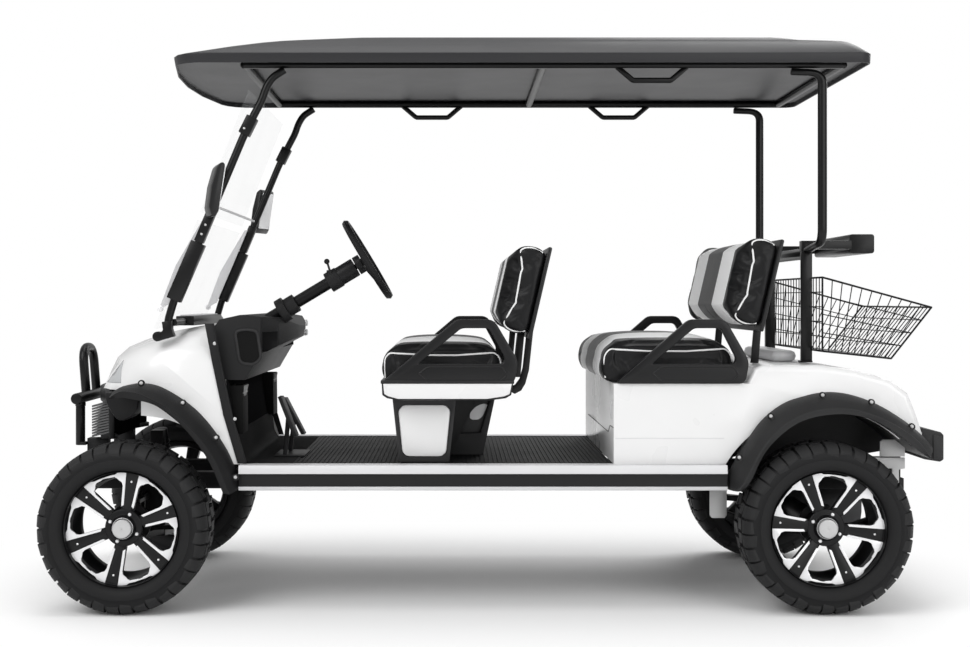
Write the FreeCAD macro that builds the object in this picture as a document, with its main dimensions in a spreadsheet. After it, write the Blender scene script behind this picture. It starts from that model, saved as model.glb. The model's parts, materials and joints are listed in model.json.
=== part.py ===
import FreeCAD, Part
import Sketcher
import math
import os
import re

os.makedirs("parts", exist_ok=True)
doc = FreeCAD.newDocument("golf_cart")
V = FreeCAD.Vector

# A four-seat golf cart in millimetres. It faces -Y, its left side is +X, and it stands on Z = 0.
# Names that end in _f are measured back from the front axle, names that end in _r back from the rear axle.
SIZES = {
    # Whole cart
    "wheelbase": 2400, "front_reach": 300, "rear_reach": 440, "body_half": 520, "body_wall": 5,
    "seat_gap": 0.3, "overrun": 1,
    # Wheels and hubs
    "tyre_radius": 292, "tyre_tread_depth": 12, "tyre_half": 105, "tyre_bulge": 8,
    "tyre_side_radius": 236,
    "tyre_shoulder_radius": 262, "tyre_crown_half": 78, "tyre_inner_radius": 180, "wheel_offset": 520,
    "lug_count": 16, "lug_reach": 5, "lug_width": 62,
    "rim_half": 84, "rim_flange_radius": 195, "rim_flange_width": 9, "rim_wall": 6,
    "spoke_count": 6, "front_spoke_turn": 11, "rear_spoke_turn": 37, "spoke_face": 62,
    "spoke_root_half": 19, "spoke_tip_half": 27, "spoke_depth": 26,
    "spoke_taper": 7, "spoke_hub_radius": 52, "spoke_dish": 16, "hub_back": -58, "hub_radius": 72,
    "cap_radius": 30, "cap_height": 30, "stub_radius": 20, "stub_end": 40, "shaft_clearance": 0.05,
    # Steered knuckles
    "kingpin_x": 405, "kingpin_radius": 11, "barrel_radius": 21, "barrel_half": 62, "ear_thickness": 14,
    "ear_radius": 24, "yoke_back": 52, "yoke_wall": 12, "arm_back": 120, "arm_inset": 26,
    "arm_thickness": 12, "arm_half": 13, "arm_drop": 34, "tie_rod_radius": 8, "tie_eye_radius": 15,
    "tie_eye_height": 18, "tie_gap": 0.3,
    # Suspension and axle
    "wishbone_thickness": 22, "upper_link_half": 16,
    "shock_radius": 26, "shock_forward": 46, "shock_x_low": 318, "shock_x_top": 250, "shock_top": 555,
    "shock_bare_share": 0.2,
    "rear_tube_radius": 34, "spring_x": 375, "spring_half": 25, "spring_thick": 22,
    "spring_front_r": -338,
    "spring_back_r": 300, "spring_camber": 72, "spring_eye_radius": 18,
    "diff_radius": 105, "diff_half": 70, "motor_radius": 92, "motor_length": 190,
    # Frame
    "rail_x": 200, "rail_half": 25, "rail_low": 380, "rail_top": 440, "rail_front_f": -200,
    "rail_back_reach": -18, "cross_half": 30, "cross_low": 205, "cross_reach_half": 70,
    "outrigger_half": 20,
    "outrigger_low": 410, "horn_front_f": -215, "guard_tab": 12,
    "battery_half": 165, "battery_front_f": 960, "battery_length": 620, "battery_low": 370,
    # Floor and sills
    "floor_inset": 15, "floor_top": 485, "mat_top": 500, "mat_inset": 30, "floor_front_f": 372,
    "floor_back_r": -715, "rib_pitch": 60, "rib_width": 16, "rib_height": 3, "mat_front_f": 410,
    "mat_back_r": -722,
    "sill_reach": 40, "sill_front_f": 390, "sill_back_r": -334, "sill_low": 417, "sill_panel_low": 430,
    "sill_panel_top": 474, "sill_top": 503, "sill_inset": 6, "sill_wall": 38,
    # Front body
    "cowl_front_f": -175, "cowl_length": 500, "cowl_low": 503, "cowl_height": 482,
    "cowl_bend_share": 0.22,
    "cowl_turn_share": 0.36,
    "arch_radius": 345, "arch_z": 325, "arch_centre_f": 46,
    "lamp_depth": 14, "lamp_x": 230, "lamp_gap": 1,
    "bumper_front_f": -200, "bumper_back_f": 10, "bumper_low": 565, "bumper_top": 755, "bumper_half": 400,
    "bumper_bow": 110, "cheek_low": 655, "cheek_wall": 10,
    "grille_front_f": -195, "grille_slats": 8, "grille_low": 586, "grille_top": 728, "grille_half": 262,
    "slat_thickness": 8, "slat_depth": 60,
    "guard_front_f": -300, "guard_radius": 17, "guard_top": 906, "guard_half": 75, "guard_hip": 225,
    "guard_low": 540, "guard_cross_z": 712, "guard_cross_half": 285, "guard_cross_radius": 20,
    "guard_lean": 45,
    "flare_reach": 84, "flare_wall": 6, "front_flare_length": 456, "front_flare_height": 370,
    "rear_flare_length": 685, "rear_flare_height": 337,
    # Dash and footwell
    "dash_front_f": 292, "dash_low": 792, "dash_depth": 262, "dash_height": 226, "dash_half": 486,
    "dash_end_share": 0.62, "cubby_wall": 14, "cubby_depth": 120, "cubby_low": 888, "cubby_top": 958,
    "cubby_inner": 362,
    "glove_inner": 40, "panel_wall": 8, "panel_half": 482, "panel_low_f": 388, "panel_top_f": 334,
    "pocket_half": 62, "pocket_x": 412, "pocket_low": 604, "pocket_top": 772, "pocket_depth": 46,
    # Pedals
    "brake_x": 250, "brake_width": 74, "brake_run": 70, "brake_height": 216,
    "throttle_x": 120, "throttle_width": 62, "throttle_run": 84, "throttle_height": 202,
    "pedal_plate": 14, "pedal_front_f": 490,
    # Steering
    "wheel_x": 280, "wheel_f": 815, "wheel_z": 1216, "steer_radius": 165, "steer_grip": 14,
    "steer_angle": 31, "steer_hub_radius": 34, "steer_hub_depth": 46, "steer_spoke_half": 13,
    "steer_spoke_thick": 8, "steer_dish": 22, "column_radius": 22, "column_length": 400,
    "shaft_radius": 10,
    "shaft_reach": 34, "column_gap": 5, "shroud_radius": 34, "shroud_length": 110,
    # Windscreen and posts
    "post_x": 500, "post_side": 25, "post_width": 40, "post_foot_f": 128, "post_foot_z": 952,
    "post_foot_reach": 70,
    "post_top_f": 528, "post_top_z": 1872, "post_top_run": 60, "glass_thickness": 5, "glass_half": 468,
    "glass_split_z": 1345, "glass_split_gap": 26, "glass_low_z": 952, "glass_high_z": 1784,
    "glass_forward": 28, "clip_half": 20,
    "mirror_x": 596, "mirror_f": 300, "mirror_low": 1346, "mirror_top": 1526, "mirror_depth": 46,
    "mirror_half": 62, "mirror_arm_radius": 8, "mirror_lean": 12,
    # Roof
    "roof_low": 1882, "roof_front_f": 105, "roof_back_r": 162, "roof_half": 575, "roof_height": 112,
    "roof_wall": 6, "roof_corner": 150, "roof_bow": 50,
    "roof_corner_share": 1.5,
    "roof_rail_x": 495, "roof_rail_radius": 13, "roof_rail_z": 1886, "roof_frame_front_f": 400,
    "roof_frame_inset": 82,
    "handle_radius": 9, "handle_drop": 41, "handle_half": 114, "handle_flat": 66, "handle_front_f": 1036,
    "handle_back_f": 1815, "ceiling_wall": 5,
    # Seats
    "pedestal_half": 455, "pedestal_front_f": 913, "pedestal_length": 223, "pedestal_core_half": 220,
    "pedestal_core_length": 369, "pedestal_wall": 6, "pedestal_taper": 24, "panel_corner": 26,
    "panel_depth": 12,
    "pan_front_f": 880, "pan_length": 452, "pan_half": 532, "pan_low": 727, "pan_top": 781,
    "pan_radius": 26,
    "cushion_front_f": 864, "cushion_length": 448, "cushion_half": 486,
    "cushion_top": 936, "cushion_radius": 38,
    "back_f": 1286, "back_low": 962, "back_height": 330, "back_lean": 13, "back_thick": 112,
    "back_half": 470, "back_radius": 34,
    "support_x": 350, "support_radius": 14,
    "rest_x": 500, "rest_wall": 30, "rest_front_f": 881, "rest_length": 470, "rest_height": 222,
    "rest_bend": 40,
    # Rear body and rear seat
    "tub_front_r": -720, "tub_low": 503, "tub_deck_z": 845, "tub_length": 1068, "box_clear": 18,
    "tub_edge_radius": 24, "rear_arch_radius": 388, "rear_arch_z": 305, "tub_back_low": 590,
    "rear_cushion_r": -770, "rear_cushion_length": 488, "rear_cushion_top": 950,
    "rear_back_r": -304, "rear_back_low": 989,
    "rear_rest_r": -709, "rear_rest_length": 456,
    "tail_bumper_reach": 16, "tail_bumper_depth": 76, "tail_bumper_low": 505, "tail_bumper_top": 630,
    "tail_bumper_half": 330, "tail_bumper_radius": 18, "tail_horn": 26, "tail_lamp_x": 385,
    "tail_lamp_half": 46, "tail_lamp_low": 640, "tail_lamp_top": 720, "tail_lamp_depth": 8,
    "hitch_half": 45, "hitch_low": 459, "hitch_plate": 10, "hitch_reach": 28, "hitch_length": 156,
    "hitch_pin_radius": 10, "hitch_pin_back": 24, "hitch_upright": 58,
    # Rear stand and basket
    "strut_x": 500, "strut_width": 32, "strut_side": 25, "strut_forward": 343, "strut_low": 1238,
    "strut_bend_z": 1270, "strut_drop": 20,
    "stand_x": 292, "bag_bar_z": 1275, "bag_bar_radius": 20, "bag_bar_ahead": 16,
    "bag_bar_back": 165, "bag_pad_length": 90, "bag_pad_half": 250, "bag_pad_height": 70,
    "basket_half": 420, "basket_low": 864, "basket_height": 286, "basket_depth": 384,
    "basket_rod": 5, "basket_side_wires": 6, "basket_back_wires": 8, "basket_rows": 3,
}
SHEET = doc.addObject("Spreadsheet::Sheet", "Sizes")
for row, (alias, value) in enumerate(SIZES.items(), 1):
    SHEET.set(f"A{row}", alias)
    SHEET.set(f"B{row}", str(value))
    SHEET.setAlias(f"B{row}", alias)
doc.recompute()


class Sheet:
    """The driving sizes by name, as numbers read from the spreadsheet."""

    def __getattr__(self, name):
        return float(SHEET.get(name))


s = Sheet()
front = s.front_reach - (s.front_reach + s.wheelbase + s.rear_reach) / 2
rear = front + s.wheelbase
FRONT = "(Sizes.front_reach - (Sizes.front_reach + Sizes.wheelbase + Sizes.rear_reach) / 2)"
REAR = f"({FRONT} + Sizes.wheelbase)"
SIZE_NAME = r"\b[a-z][a-z0-9_]{2,}\b(?!\()"
PIECES = []


def formula(text):
    """A spreadsheet formula from one that uses bare size names, FRONT and REAR."""
    text = re.sub(SIZE_NAME, lambda name: f"Sizes.{name.group()}", text)
    return text.replace("FRONT", FRONT).replace("REAR", REAR)


def keep(label, shape):
    """A sub-part whose shape is worked out in code from the sheet."""
    piece = doc.addObject("Part::Feature", label)
    piece.Label = label
    piece.Shape = shape
    PIECES.append(piece)
    return piece


def both_sides(shape):
    """A left-hand shape with its mirror image on the right, as one compound."""
    return Part.makeCompound([shape, mirrored(shape)])


def mirrored(shape):
    return shape.mirror(V(0, 0, 0), V(1, 0, 0))


def fused(shapes):
    return shapes[0].fuse(shapes[1:]).removeSplitter() if len(shapes) > 1 else shapes[0]


def block(x0, x1, y0, y1, z0, z1):
    return Part.makeBox(x1 - x0, y1 - y0, z1 - z0, V(x0, y0, z0))


def bar(start, end, radius):
    """A round bar between two points."""
    return Part.makeCylinder(radius, (end - start).Length, start, end - start)


def disc_x(x0, x1, y, z, radius):
    """A cylinder about a line along X."""
    return Part.makeCylinder(radius, x1 - x0, V(x0, y, z), V(1, 0, 0))


def side_points(shares, y0, z0, length, height):
    """Points in the side view, from shares of a piece's length and height."""
    return [V(0, y0 + length * a, z0 + height * b) for a, b in shares]


def slab(points, x0, x1):
    """A side-view polygon drawn out from x0 to x1."""
    return sliced(Part.makePolygon(points + points[:1]), x0, x1)


def sliced(wire, x0, x1):
    face = Part.Face(wire)
    face.translate(V(x0, 0, 0))
    return face.extrude(V(x1 - x0, 0, 0))


def strip(points, width):
    """The outline of a strip of even width about a line of points in the side view."""
    near, far = [], []
    for i, point in enumerate(points):
        before = (point - points[i - 1]).normalize() if i else None
        after = (points[i + 1] - point).normalize() if i < len(points) - 1 else before
        before = before or after
        across = V(0, -(before + after).z, (before + after).y).normalize()
        reach = width / 2 / across.dot(V(0, -before.z, before.y))
        near.append(point + across * reach)
        far.append(point - across * reach)
    return near + far[::-1]


def body_of(label):
    body = doc.addObject("PartDesign::Body", label)
    body.Label = label
    body.AllowCompound = True
    PIECES.append(body)
    return body


def plane_of(body, role):
    return next(item for item in body.Origin.OriginFeatures if item.Role == role)


def sketch_on(body, role, offset="0"):
    """A sketch on one of the body's own planes, moved along the plane's normal by a formula."""
    sketch = body.newObject("Sketcher::SketchObject", f"{body.Name}_sketch")
    sketch.AttachmentSupport = (plane_of(body, role), [""])
    sketch.MapMode = "FlatFace"
    sketch.setExpression(".AttachmentOffset.Base.z", formula(offset))
    return sketch


def corners(sketch, points):
    """A closed outline whose corners are held at pairs of formulas."""
    spots = [(evaluate(a), evaluate(b)) for a, b in points]
    first = sketch.GeometryCount
    count = len(spots)
    for i in range(count):
        a, b = spots[i], spots[(i + 1) % count]
        sketch.addGeometry(Part.LineSegment(V(a[0], a[1], 0), V(b[0], b[1], 0)))
    for i in range(count):
        sketch.addConstraint(Sketcher.Constraint("Coincident", first + i, 2, first + (i + 1) % count, 1))
    for i, (a, b) in enumerate(points):
        for kind, text, value in (("DistanceX", a, spots[i][0]), ("DistanceY", b, spots[i][1])):
            at = sketch.addConstraint(Sketcher.Constraint(kind, -1, 1, first + i, 1, value))
            sketch.setExpression(f"Constraints[{at}]", formula(text))


def evaluate(text):
    """The present value of a formula in bare size names."""
    names = {"FRONT": front, "REAR": rear}
    text = re.sub(SIZE_NAME, lambda name: repr(float(SHEET.get(name.group()))), text)
    for name, value in names.items():
        text = text.replace(name, repr(value))
    return FreeCAD.Units.Quantity(text).Value


def rectangle(sketch, x0, y0, x1, y1):
    corners(sketch, [(x0, y0), (x1, y0), (x1, y1), (x0, y1)])


def pad(body, sketch, length, name="pad"):
    feature = body.newObject("PartDesign::Pad", f"{body.Name}_{name}")
    feature.Profile = sketch
    feature.setExpression("Length", formula(length))
    doc.recompute()
    return feature


def box_piece(label, x0, x1, y0, y1, z0, z1):
    """A plain block as a body: a plan rectangle on XY, padded up. All six are formulas."""
    body = body_of(label)
    sketch = sketch_on(body, "XY_Plane", z0)
    rectangle(sketch, x0, y0, x1, y1)
    pad(body, sketch, f"{z1} - ({z0})")
    return body


def rounded(body, radius, edges):
    base = body.Tip
    fillet = body.newObject("PartDesign::Fillet", f"{body.Name}_fillet")
    fillet.Base = (base, edges)
    fillet.setExpression("Radius", formula(radius))
    doc.recompute()
    return fillet


def edges_along(body, axis):
    """Names of the body's straight edges that run along an axis."""
    found = []
    for i, edge in enumerate(body.Shape.Edges, 1):
        ends = edge.Vertexes
        if len(ends) == 2:
            way = (ends[1].Point - ends[0].Point).normalize()
            if abs(abs(way.dot(axis)) - 1) < Part.Precision.angular() * 1000:
                found.append(f"Edge{i}")
    return found


def solid_of(faces):
    """A solid from flat faces that close, turned right side out."""
    solid = Part.Solid(Part.Shell(faces))
    if solid.Volume < 0:
        solid.reverse()
    return solid


def flat_face(points):
    return Part.Face(Part.makePolygon(points + points[:1]))


def ribbons(rings):
    """The flat faces between each ring of points and the next."""
    return [flat_face([ring[i - 1], ring[i], following[i], following[i - 1]])
            for ring, following in zip(rings, rings[1:]) for i in range(len(ring))]


def around(sides):
    """Angles from the top of a round piece's corners, with a flat at the top."""
    return [2 * math.pi * (i + 1 / 2) / sides for i in range(sides)]


def skinned(rings):
    """A solid through level outlines of as many points each, in flat three-cornered faces."""
    faces = [flat_face(rings[0]), flat_face(rings[-1])]
    for ring, after in zip(rings, rings[1:]):
        for i in range(len(ring)):
            faces.append(flat_face([ring[i - 1], ring[i], after[i]]))
            faces.append(flat_face([ring[i - 1], after[i], after[i - 1]]))
    return solid_of(faces)


def chords(arcs, steps, open_ended=False):
    """The points of a run of arcs, each through three points, in so many chords each."""
    points = []
    for arc in arcs:
        for point in Part.Arc(*arc).toShape().discretize(steps + 1):
            if not points or (point - points[-1]).Length > s.seat_gap:
                points.append(point)
    closes = not open_ended and (points[0] - points[-1]).Length < s.seat_gap
    return points[:-1] if closes else points


def turned(profile, sides):
    """A closed profile of (x, radius) points turned about X in flats, one flat at the top."""
    rings = [on_wheel(profile, angle) for angle in around(sides)]
    return solid_of(ribbons(rings + rings[:1]))


def prism_x(x0, x1, y, z, radius, sides):
    """A regular prism about a line along X; the radius is to its flats."""
    angles, reach = around(sides), radius / math.cos(math.pi / sides)
    face = flat_face([V(x0, y + reach * math.sin(a), z + reach * math.cos(a)) for a in angles])
    return face.extrude(V(x1 - x0, 0, 0))


def bar_along(points, radius, sides):
    """A bar of regular section along straight runs, mitred where they meet; the radius is to its flats."""
    ways = [(b - a).normalize() for a, b in zip(points, points[1:])]
    turn, reach = FreeCAD.Rotation(V(0, 0, 1), ways[0]), radius / math.cos(math.pi / sides)
    ring = [points[0] + turn.multVec(V(reach * math.cos(a), reach * math.sin(a),
                                       0)) for a in around(sides)]
    rings = [ring]
    for corner, way, after in zip(points[1:], ways, ways[1:] + ways[-1:]):
        mitre = way + after
        ring = [p + way * ((corner - p).dot(mitre) / way.dot(mitre)) for p in ring]
        rings.append(ring)
    return solid_of(ribbons(rings) + [flat_face(rings[0]), flat_face(rings[-1])])


def eased(points, bend, steps):
    """The points of a run of straight lines with each corner eased by short chords of one bend radius."""
    line = [points[0]]
    for before, corner, after in zip(points, points[1:], points[2:]):
        back, ahead = (before - corner).normalize(), (after - corner).normalize()
        half = back.getAngle(ahead) / 2
        middle = corner + (back + ahead).normalize() * (bend / math.sin(half))
        first, last = corner + back * (bend / math.tan(half)), corner + ahead * (bend / math.tan(half))
        for i in range(steps + 1):
            spot = first + (last - first) * (i / steps) - middle
            line.append(middle + spot.normalize() * bend)
    return line + [points[-1]]


def round_cornered(points, bend):
    """A closed outline with every corner eased by one radius."""
    start = (points[0] + points[-1]) / 2
    return Part.makePolygon(eased([start] + points + [start], bend, 3))


def chord_runs(*runs):
    """A closed wire of short chords along runs of arcs, each arc through three points."""
    points = [point for run in runs for point in chords(list(zip(run[::2], run[1::2], run[2::2])), 4,
                                                        True)]
    return Part.makePolygon(points + points[:1])


def arc_runs(*runs):
    """A closed wire: each run of points is made of arcs through three, and lines join the runs."""
    edges = []
    for points, following in zip(runs, runs[1:] + runs[:1]):
        for a, b, c in zip(points[::2], points[1::2], points[2::2]):
            edges.append(Part.Arc(a, b, c).toShape())
        edges.append(Part.LineSegment(points[-1], following[0]).toShape())
    return Part.Wire(edges)


# Wheels

def wheel_sides():
    """The flats round a wheel: one for each lug of its two staggered rows."""
    return 2 * int(s.lug_count)


def tyre_shape():
    """A tyre about the X axis in flats, with lugs on alternate shoulders."""
    sides = wheel_sides()
    top, tread = s.tyre_radius / math.cos(math.pi / sides), s.tyre_radius - s.tyre_tread_depth
    half, crown, shoulder = s.tyre_half, s.tyre_crown_half, s.tyre_shoulder_radius
    bead = [(s.rim_half, s.tyre_inner_radius), (s.rim_half, s.rim_flange_radius + s.seat_gap * 2)]
    wall, foot = (half + s.tyre_bulge, s.tyre_side_radius), (half - s.lug_width, tread)
    lug = [(half + s.lug_reach, shoulder), (crown, top - s.tyre_tread_depth / 3), (half - s.lug_width,
                                                                                   top)]
    groove = [(half, shoulder)]
    faces = []
    for i, angle in enumerate(around(sides)):
        right, left = (lug, groove) if i % 2 else (groove, lug)
        profile = bead + [wall] + right + [foot]
        profile += [(-x, radius) for x, radius in (bead + [wall] + left + [foot])[::-1]]
        before = angle - 2 * math.pi / sides
        faces += ribbons([on_wheel(profile, before), on_wheel(profile, angle)])
        for sign in (1, -1):
            step = [(sign * x, radius) for x, radius in [wall] + lug + [foot] + groove]
            faces.append(flat_face(on_wheel(step, angle)))
    return solid_of(faces)


def on_wheel(profile, angle):
    """The points of an (x, radius) profile at an angle from the top about the X axis."""
    return [V(x, radius * math.sin(angle), radius * math.cos(angle)) for x, radius in profile]


def rim_shape(spoke_turn):
    """A six-spoke rim about the X axis, outboard side +X, with its hub and centre cap."""
    seat, flange = s.tyre_inner_radius - s.seat_gap, s.rim_flange_radius
    start = s.rim_half + s.seat_gap
    lip = start + s.rim_flange_width
    inside = seat - s.rim_wall
    outline = [(lip, inside), (lip, flange), (start, flange), (start, seat)]
    barrel = turned(outline + [(-x, radius) for x, radius in outline[::-1]], wheel_sides())
    face, dish, deep = s.spoke_face, s.spoke_dish, s.spoke_depth
    spokes = []
    for i in range(int(s.spoke_count)):
        root = spoke_section(s.spoke_hub_radius / 2, s.spoke_root_half, face - dish)
        tip = spoke_section(inside + s.rim_wall / 2, s.spoke_tip_half, face + dish / 2)
        spoke = solid_of(ribbons([root, tip]) + [flat_face(root), flat_face(tip)])
        spoke.rotate(V(0, 0, 0), V(1, 0, 0), 360 / s.spoke_count * i - spoke_turn)
        spokes.append(spoke)
    hub_face = face - dish + s.lug_reach
    sides = 2 * int(s.spoke_count)
    hub = prism_x(s.hub_back, hub_face, 0, 0, s.spoke_hub_radius, sides)
    flange_disc = prism_x(s.hub_back, s.hub_back + s.rim_wall * 2, 0, 0, s.hub_radius, sides)
    cap = prism_x(hub_face, hub_face + s.cap_height, 0, 0, s.cap_radius, sides)
    rim = fused([barrel, hub, flange_disc, cap] + spokes)
    bore = disc_x(s.hub_back - s.seat_gap, s.stub_end + s.seat_gap, 0, 0,
                  s.stub_radius + s.shaft_clearance)
    return rim.cut(bore)


def spoke_section(radius, half, front_x):
    """The corners of a spoke's tapered section across the radius."""
    back_x, back_half = front_x - s.spoke_depth, half - s.spoke_taper
    return [V(back_x, -back_half, radius), V(back_x, back_half, radius), V(front_x, half, radius),
            V(front_x, -half, radius)]


def at_wheel(shape, y, side):
    """A wheel shape moved to its place; side is 1 on the left and -1 on the right."""
    moved = shape.copy()
    moved.translate(V(s.wheel_offset, y, s.tyre_radius))
    return moved if side > 0 else mirrored(moved)


def wheels():
    tyre = tyre_shape()
    for end, y, spoke_turn in (("front", front, s.front_spoke_turn), ("rear", rear, s.rear_spoke_turn)):
        rim = rim_shape(spoke_turn)
        for side, sign in (("left", 1), ("right", -1)):
            keep(f"tyre_{end}_{side}", at_wheel(tyre, y, sign))
            keep(f"rim_{end}_{side}", at_wheel(rim, y, sign))


# Steered knuckles, front suspension and tie rod

def knuckle_shape():
    """The left knuckle: barrel on the kingpin, stub axle and the steering arm that leads back."""
    x, y, z = s.kingpin_x, front, s.tyre_radius
    r, half = s.barrel_radius, s.barrel_half
    barrel = prism_x(-half, half, 0, 0, r, 8)
    barrel.Placement = FreeCAD.Placement(V(x, y, z), FreeCAD.Rotation(V(1, 0, 0), V(0, 0, 1)))
    stub = disc_x(x, s.wheel_offset + s.stub_end, y, z, s.stub_radius)
    tip = V(x - s.arm_inset, y + s.arm_back + s.arm_half, 0)
    top = z - s.arm_drop + s.arm_thickness
    arm = plate_between(V(x, y, 0), tip, s.arm_half, top - s.arm_thickness, top)
    bore = Part.makeCylinder(s.kingpin_radius + s.shaft_clearance, 2 * (half + s.overrun),
                             V(x, y, z - half - s.overrun))
    return fused([barrel, stub, arm]).cut(bore)


def plate_between(start, end, half, z0, z1):
    """A flat bar in plan between two points."""
    along = (end - start).normalize()
    across = V(-along.y, along.x, 0) * half
    points = [start + across, end + across, end - across, start - across]
    face = Part.Face(Part.makePolygon(points + points[:1]))
    face.translate(V(0, 0, z0))
    return face.extrude(V(0, 0, z1 - z0))


def knuckles():
    left = knuckle_shape()
    keep("knuckle_left", left)
    keep("knuckle_right", mirrored(left))


def front_suspension():
    """Yokes with kingpins, wishbones and coil-overs, both sides."""
    x, y, z = s.kingpin_x, front, s.tyre_radius
    ear_low = z - s.barrel_half - s.seat_gap
    ear_high = z + s.barrel_half + s.seat_gap
    parts = []
    for z0 in (ear_low - s.ear_thickness, ear_high):
        parts.append(block(x - s.yoke_back, x + s.ear_radius, y - s.ear_radius, y + s.ear_radius, z0,
                           z0 + s.ear_thickness))
    parts.append(block(x - s.yoke_back - s.yoke_wall, x - s.yoke_back, y - s.ear_radius, y + s.ear_radius,
                       ear_low - s.ear_thickness, ear_high + s.ear_thickness))
    parts.append(Part.makeCylinder(s.kingpin_radius, ear_high - ear_low + 2 * s.ear_thickness,
                                   V(x, y, ear_low - s.ear_thickness)))
    root = x - s.yoke_back - s.yoke_wall
    pivot = s.rail_x + s.rail_half
    low = ear_low - s.ear_thickness
    for way in (-1, 1):
        parts.append(plate_between(V(root + s.yoke_wall / 2, y, 0),
                                   V(pivot, y + way * (s.cross_reach_half - s.upper_link_half), 0),
                                   s.upper_link_half, low, low + s.wishbone_thickness))
    high = ear_high + s.ear_thickness
    parts.append(plate_between(V(root + s.yoke_wall / 2, y + s.upper_link_half / 2, 0),
                               V(pivot, y + s.upper_link_half / 2, 0), s.upper_link_half / 2,
                               high - s.wishbone_thickness, high))
    foot = V(s.shock_x_low, y - s.shock_forward / 2, low + s.wishbone_thickness / 2)
    head = V(s.shock_x_top, y - s.shock_forward, s.shock_top)
    spring_foot = foot + (head - foot) * s.shock_bare_share
    parts.append(bar_along([foot, head], s.shock_radius / 2, 8))
    parts.append(bar_along([spring_foot, head], s.shock_radius, 12))
    outboard = block(pivot + s.seat_gap, s.wheel_offset, y - s.tyre_radius, y + s.tyre_radius,
                     0, s.roof_low)
    keep("front_suspension", both_sides(fused(parts).common(outboard)))


def tie_rod():
    """The rod between the two steering arms, its eyes just under them."""
    x = s.kingpin_x - s.arm_inset
    y = front + s.arm_back
    top = s.tyre_radius - s.arm_drop - s.tie_gap
    r = s.tie_eye_radius
    eyes = [block(sign * x - r, sign * x + r, y - r, y + r, top - s.tie_eye_height, top) for sign in (1,
                                                                                                      -1)]
    keep("tie_rod", fused(eyes + [disc_x(-x, x, y, top - s.tie_eye_height / 2, s.tie_rod_radius)]))


def rear_axle():
    """Axle tube with its differential, stub ends and leaf springs up to the frame's hangers."""
    z = s.tyre_radius
    tube_end = s.wheel_offset + s.hub_back - s.column_gap
    parts = [prism_x(-tube_end, tube_end, rear, z, s.rear_tube_radius, 12),
             disc_x(-s.wheel_offset - s.stub_end, s.wheel_offset + s.stub_end, rear, z, s.stub_radius),
             prism_x(-s.diff_half, s.diff_half, rear, z, s.diff_radius, 14)]
    for sign in (1, -1):
        x = sign * s.spring_x
        middle = V(0, rear, spring_middle_z())
        ends = [V(0, rear + s.spring_front_r, middle.z + s.spring_camber),
                V(0, rear + s.spring_back_r, middle.z + s.spring_camber)]
        quarter = s.spring_camber / 4
        line = [ends[0], V(0, rear + s.spring_front_r / 2, middle.z + quarter), middle,
                V(0, rear + s.spring_back_r / 2, middle.z + quarter), ends[1]]
        parts.append(slab(strip(line, s.spring_thick), x - s.spring_half, x + s.spring_half))
        for end in ends:
            parts.append(prism_x(x - s.spring_half, x + s.spring_half, end.y, end.z,
                                 s.spring_eye_radius, 8))
    keep("rear_axle", fused(parts))


def spring_middle_z():
    """The leaf springs' middle line where they pass under the axle tube."""
    return s.tyre_radius - s.rear_tube_radius + s.seat_gap * 2 - s.spring_thick / 2


def drive_motor():
    """The plain motor block behind the axle, on the differential."""
    y0 = rear + s.diff_radius * 2 / 3
    body = bar_along([V(0, y0, s.tyre_radius), V(0, y0 + s.motor_length, s.tyre_radius)],
                     s.motor_radius, 16)
    axle = prism_x(-s.diff_half, s.diff_half, rear, s.tyre_radius, s.diff_radius + s.seat_gap, 14)
    keep("drive_motor", body.cut(axle))


# Frame, floor and sills

def frame_rails():
    """Two box rails with cross members, spring hangers, shock towers and bumper horns."""
    y0, y1 = front + s.rail_front_f, tail_y() + s.rail_back_reach
    low, top = s.rail_low, s.rail_top
    parts = [block(sign * s.rail_x - s.rail_half, sign * s.rail_x + s.rail_half, y0, y1, low, top)
             for sign in (1, -1)]
    outer = s.rail_x + s.rail_half
    reach = s.spring_x + s.spring_half
    sill_reach = s.body_half - s.floor_inset - s.outrigger_half
    horn_top = s.bumper_low - s.seat_gap
    spring_front, spring_back = rear + s.spring_front_r, rear + s.spring_back_r
    for y, half_x, z in ((y0 + s.cross_half, outer, low),
                         (front + s.panel_low_f, sill_reach, s.outrigger_low),
                         (rear + s.tub_front_r, sill_reach, s.outrigger_low),
                         (spring_front, reach, s.outrigger_low), (spring_back, reach, s.outrigger_low)):
        parts.append(block(-half_x, half_x, y - s.outrigger_half, y + s.outrigger_half, z, top))
    parts.append(block(-outer, outer, front - s.cross_reach_half, front + s.cross_reach_half,
                       s.cross_low, low))
    eye_z = spring_middle_z() + s.spring_camber
    for sign in (1, -1):
        x = sign * s.rail_x
        parts.append(block(x - s.rail_half, x + s.rail_half,
                           front - s.shock_forward - s.shock_radius,
                           front - s.shock_forward + s.shock_radius, top, s.shock_top))
        parts.append(block(x - s.rail_half, x + s.rail_half, front + s.horn_front_f,
                           y0 + 2 * s.cross_half,
                           low, horn_top))
        parts.append(block(x - s.rail_half, x + s.rail_half, y1 - s.tail_horn,
                           tail_y() + s.tail_bumper_reach - s.seat_gap, low, horn_top))
        for y in (spring_front, spring_back):
            x0, x1 = sign * s.spring_x - s.spring_half, sign * s.spring_x + s.spring_half
            hanger = block(x0, x1, y - s.outrigger_half, y + s.outrigger_half,
                           eye_z + (s.spring_eye_radius + s.spring_thick / 2) / 2, s.outrigger_low)
            parts.append(hanger.cut(prism_x(x0, x1, y, eye_z, s.spring_eye_radius + s.seat_gap, 8)))
    keep("frame_rails", fused(parts))


def battery_block():
    box_piece("battery_block", "-battery_half", "battery_half", "FRONT + battery_front_f",
              "FRONT + battery_front_f + battery_length", "battery_low", "rail_top")


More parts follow.
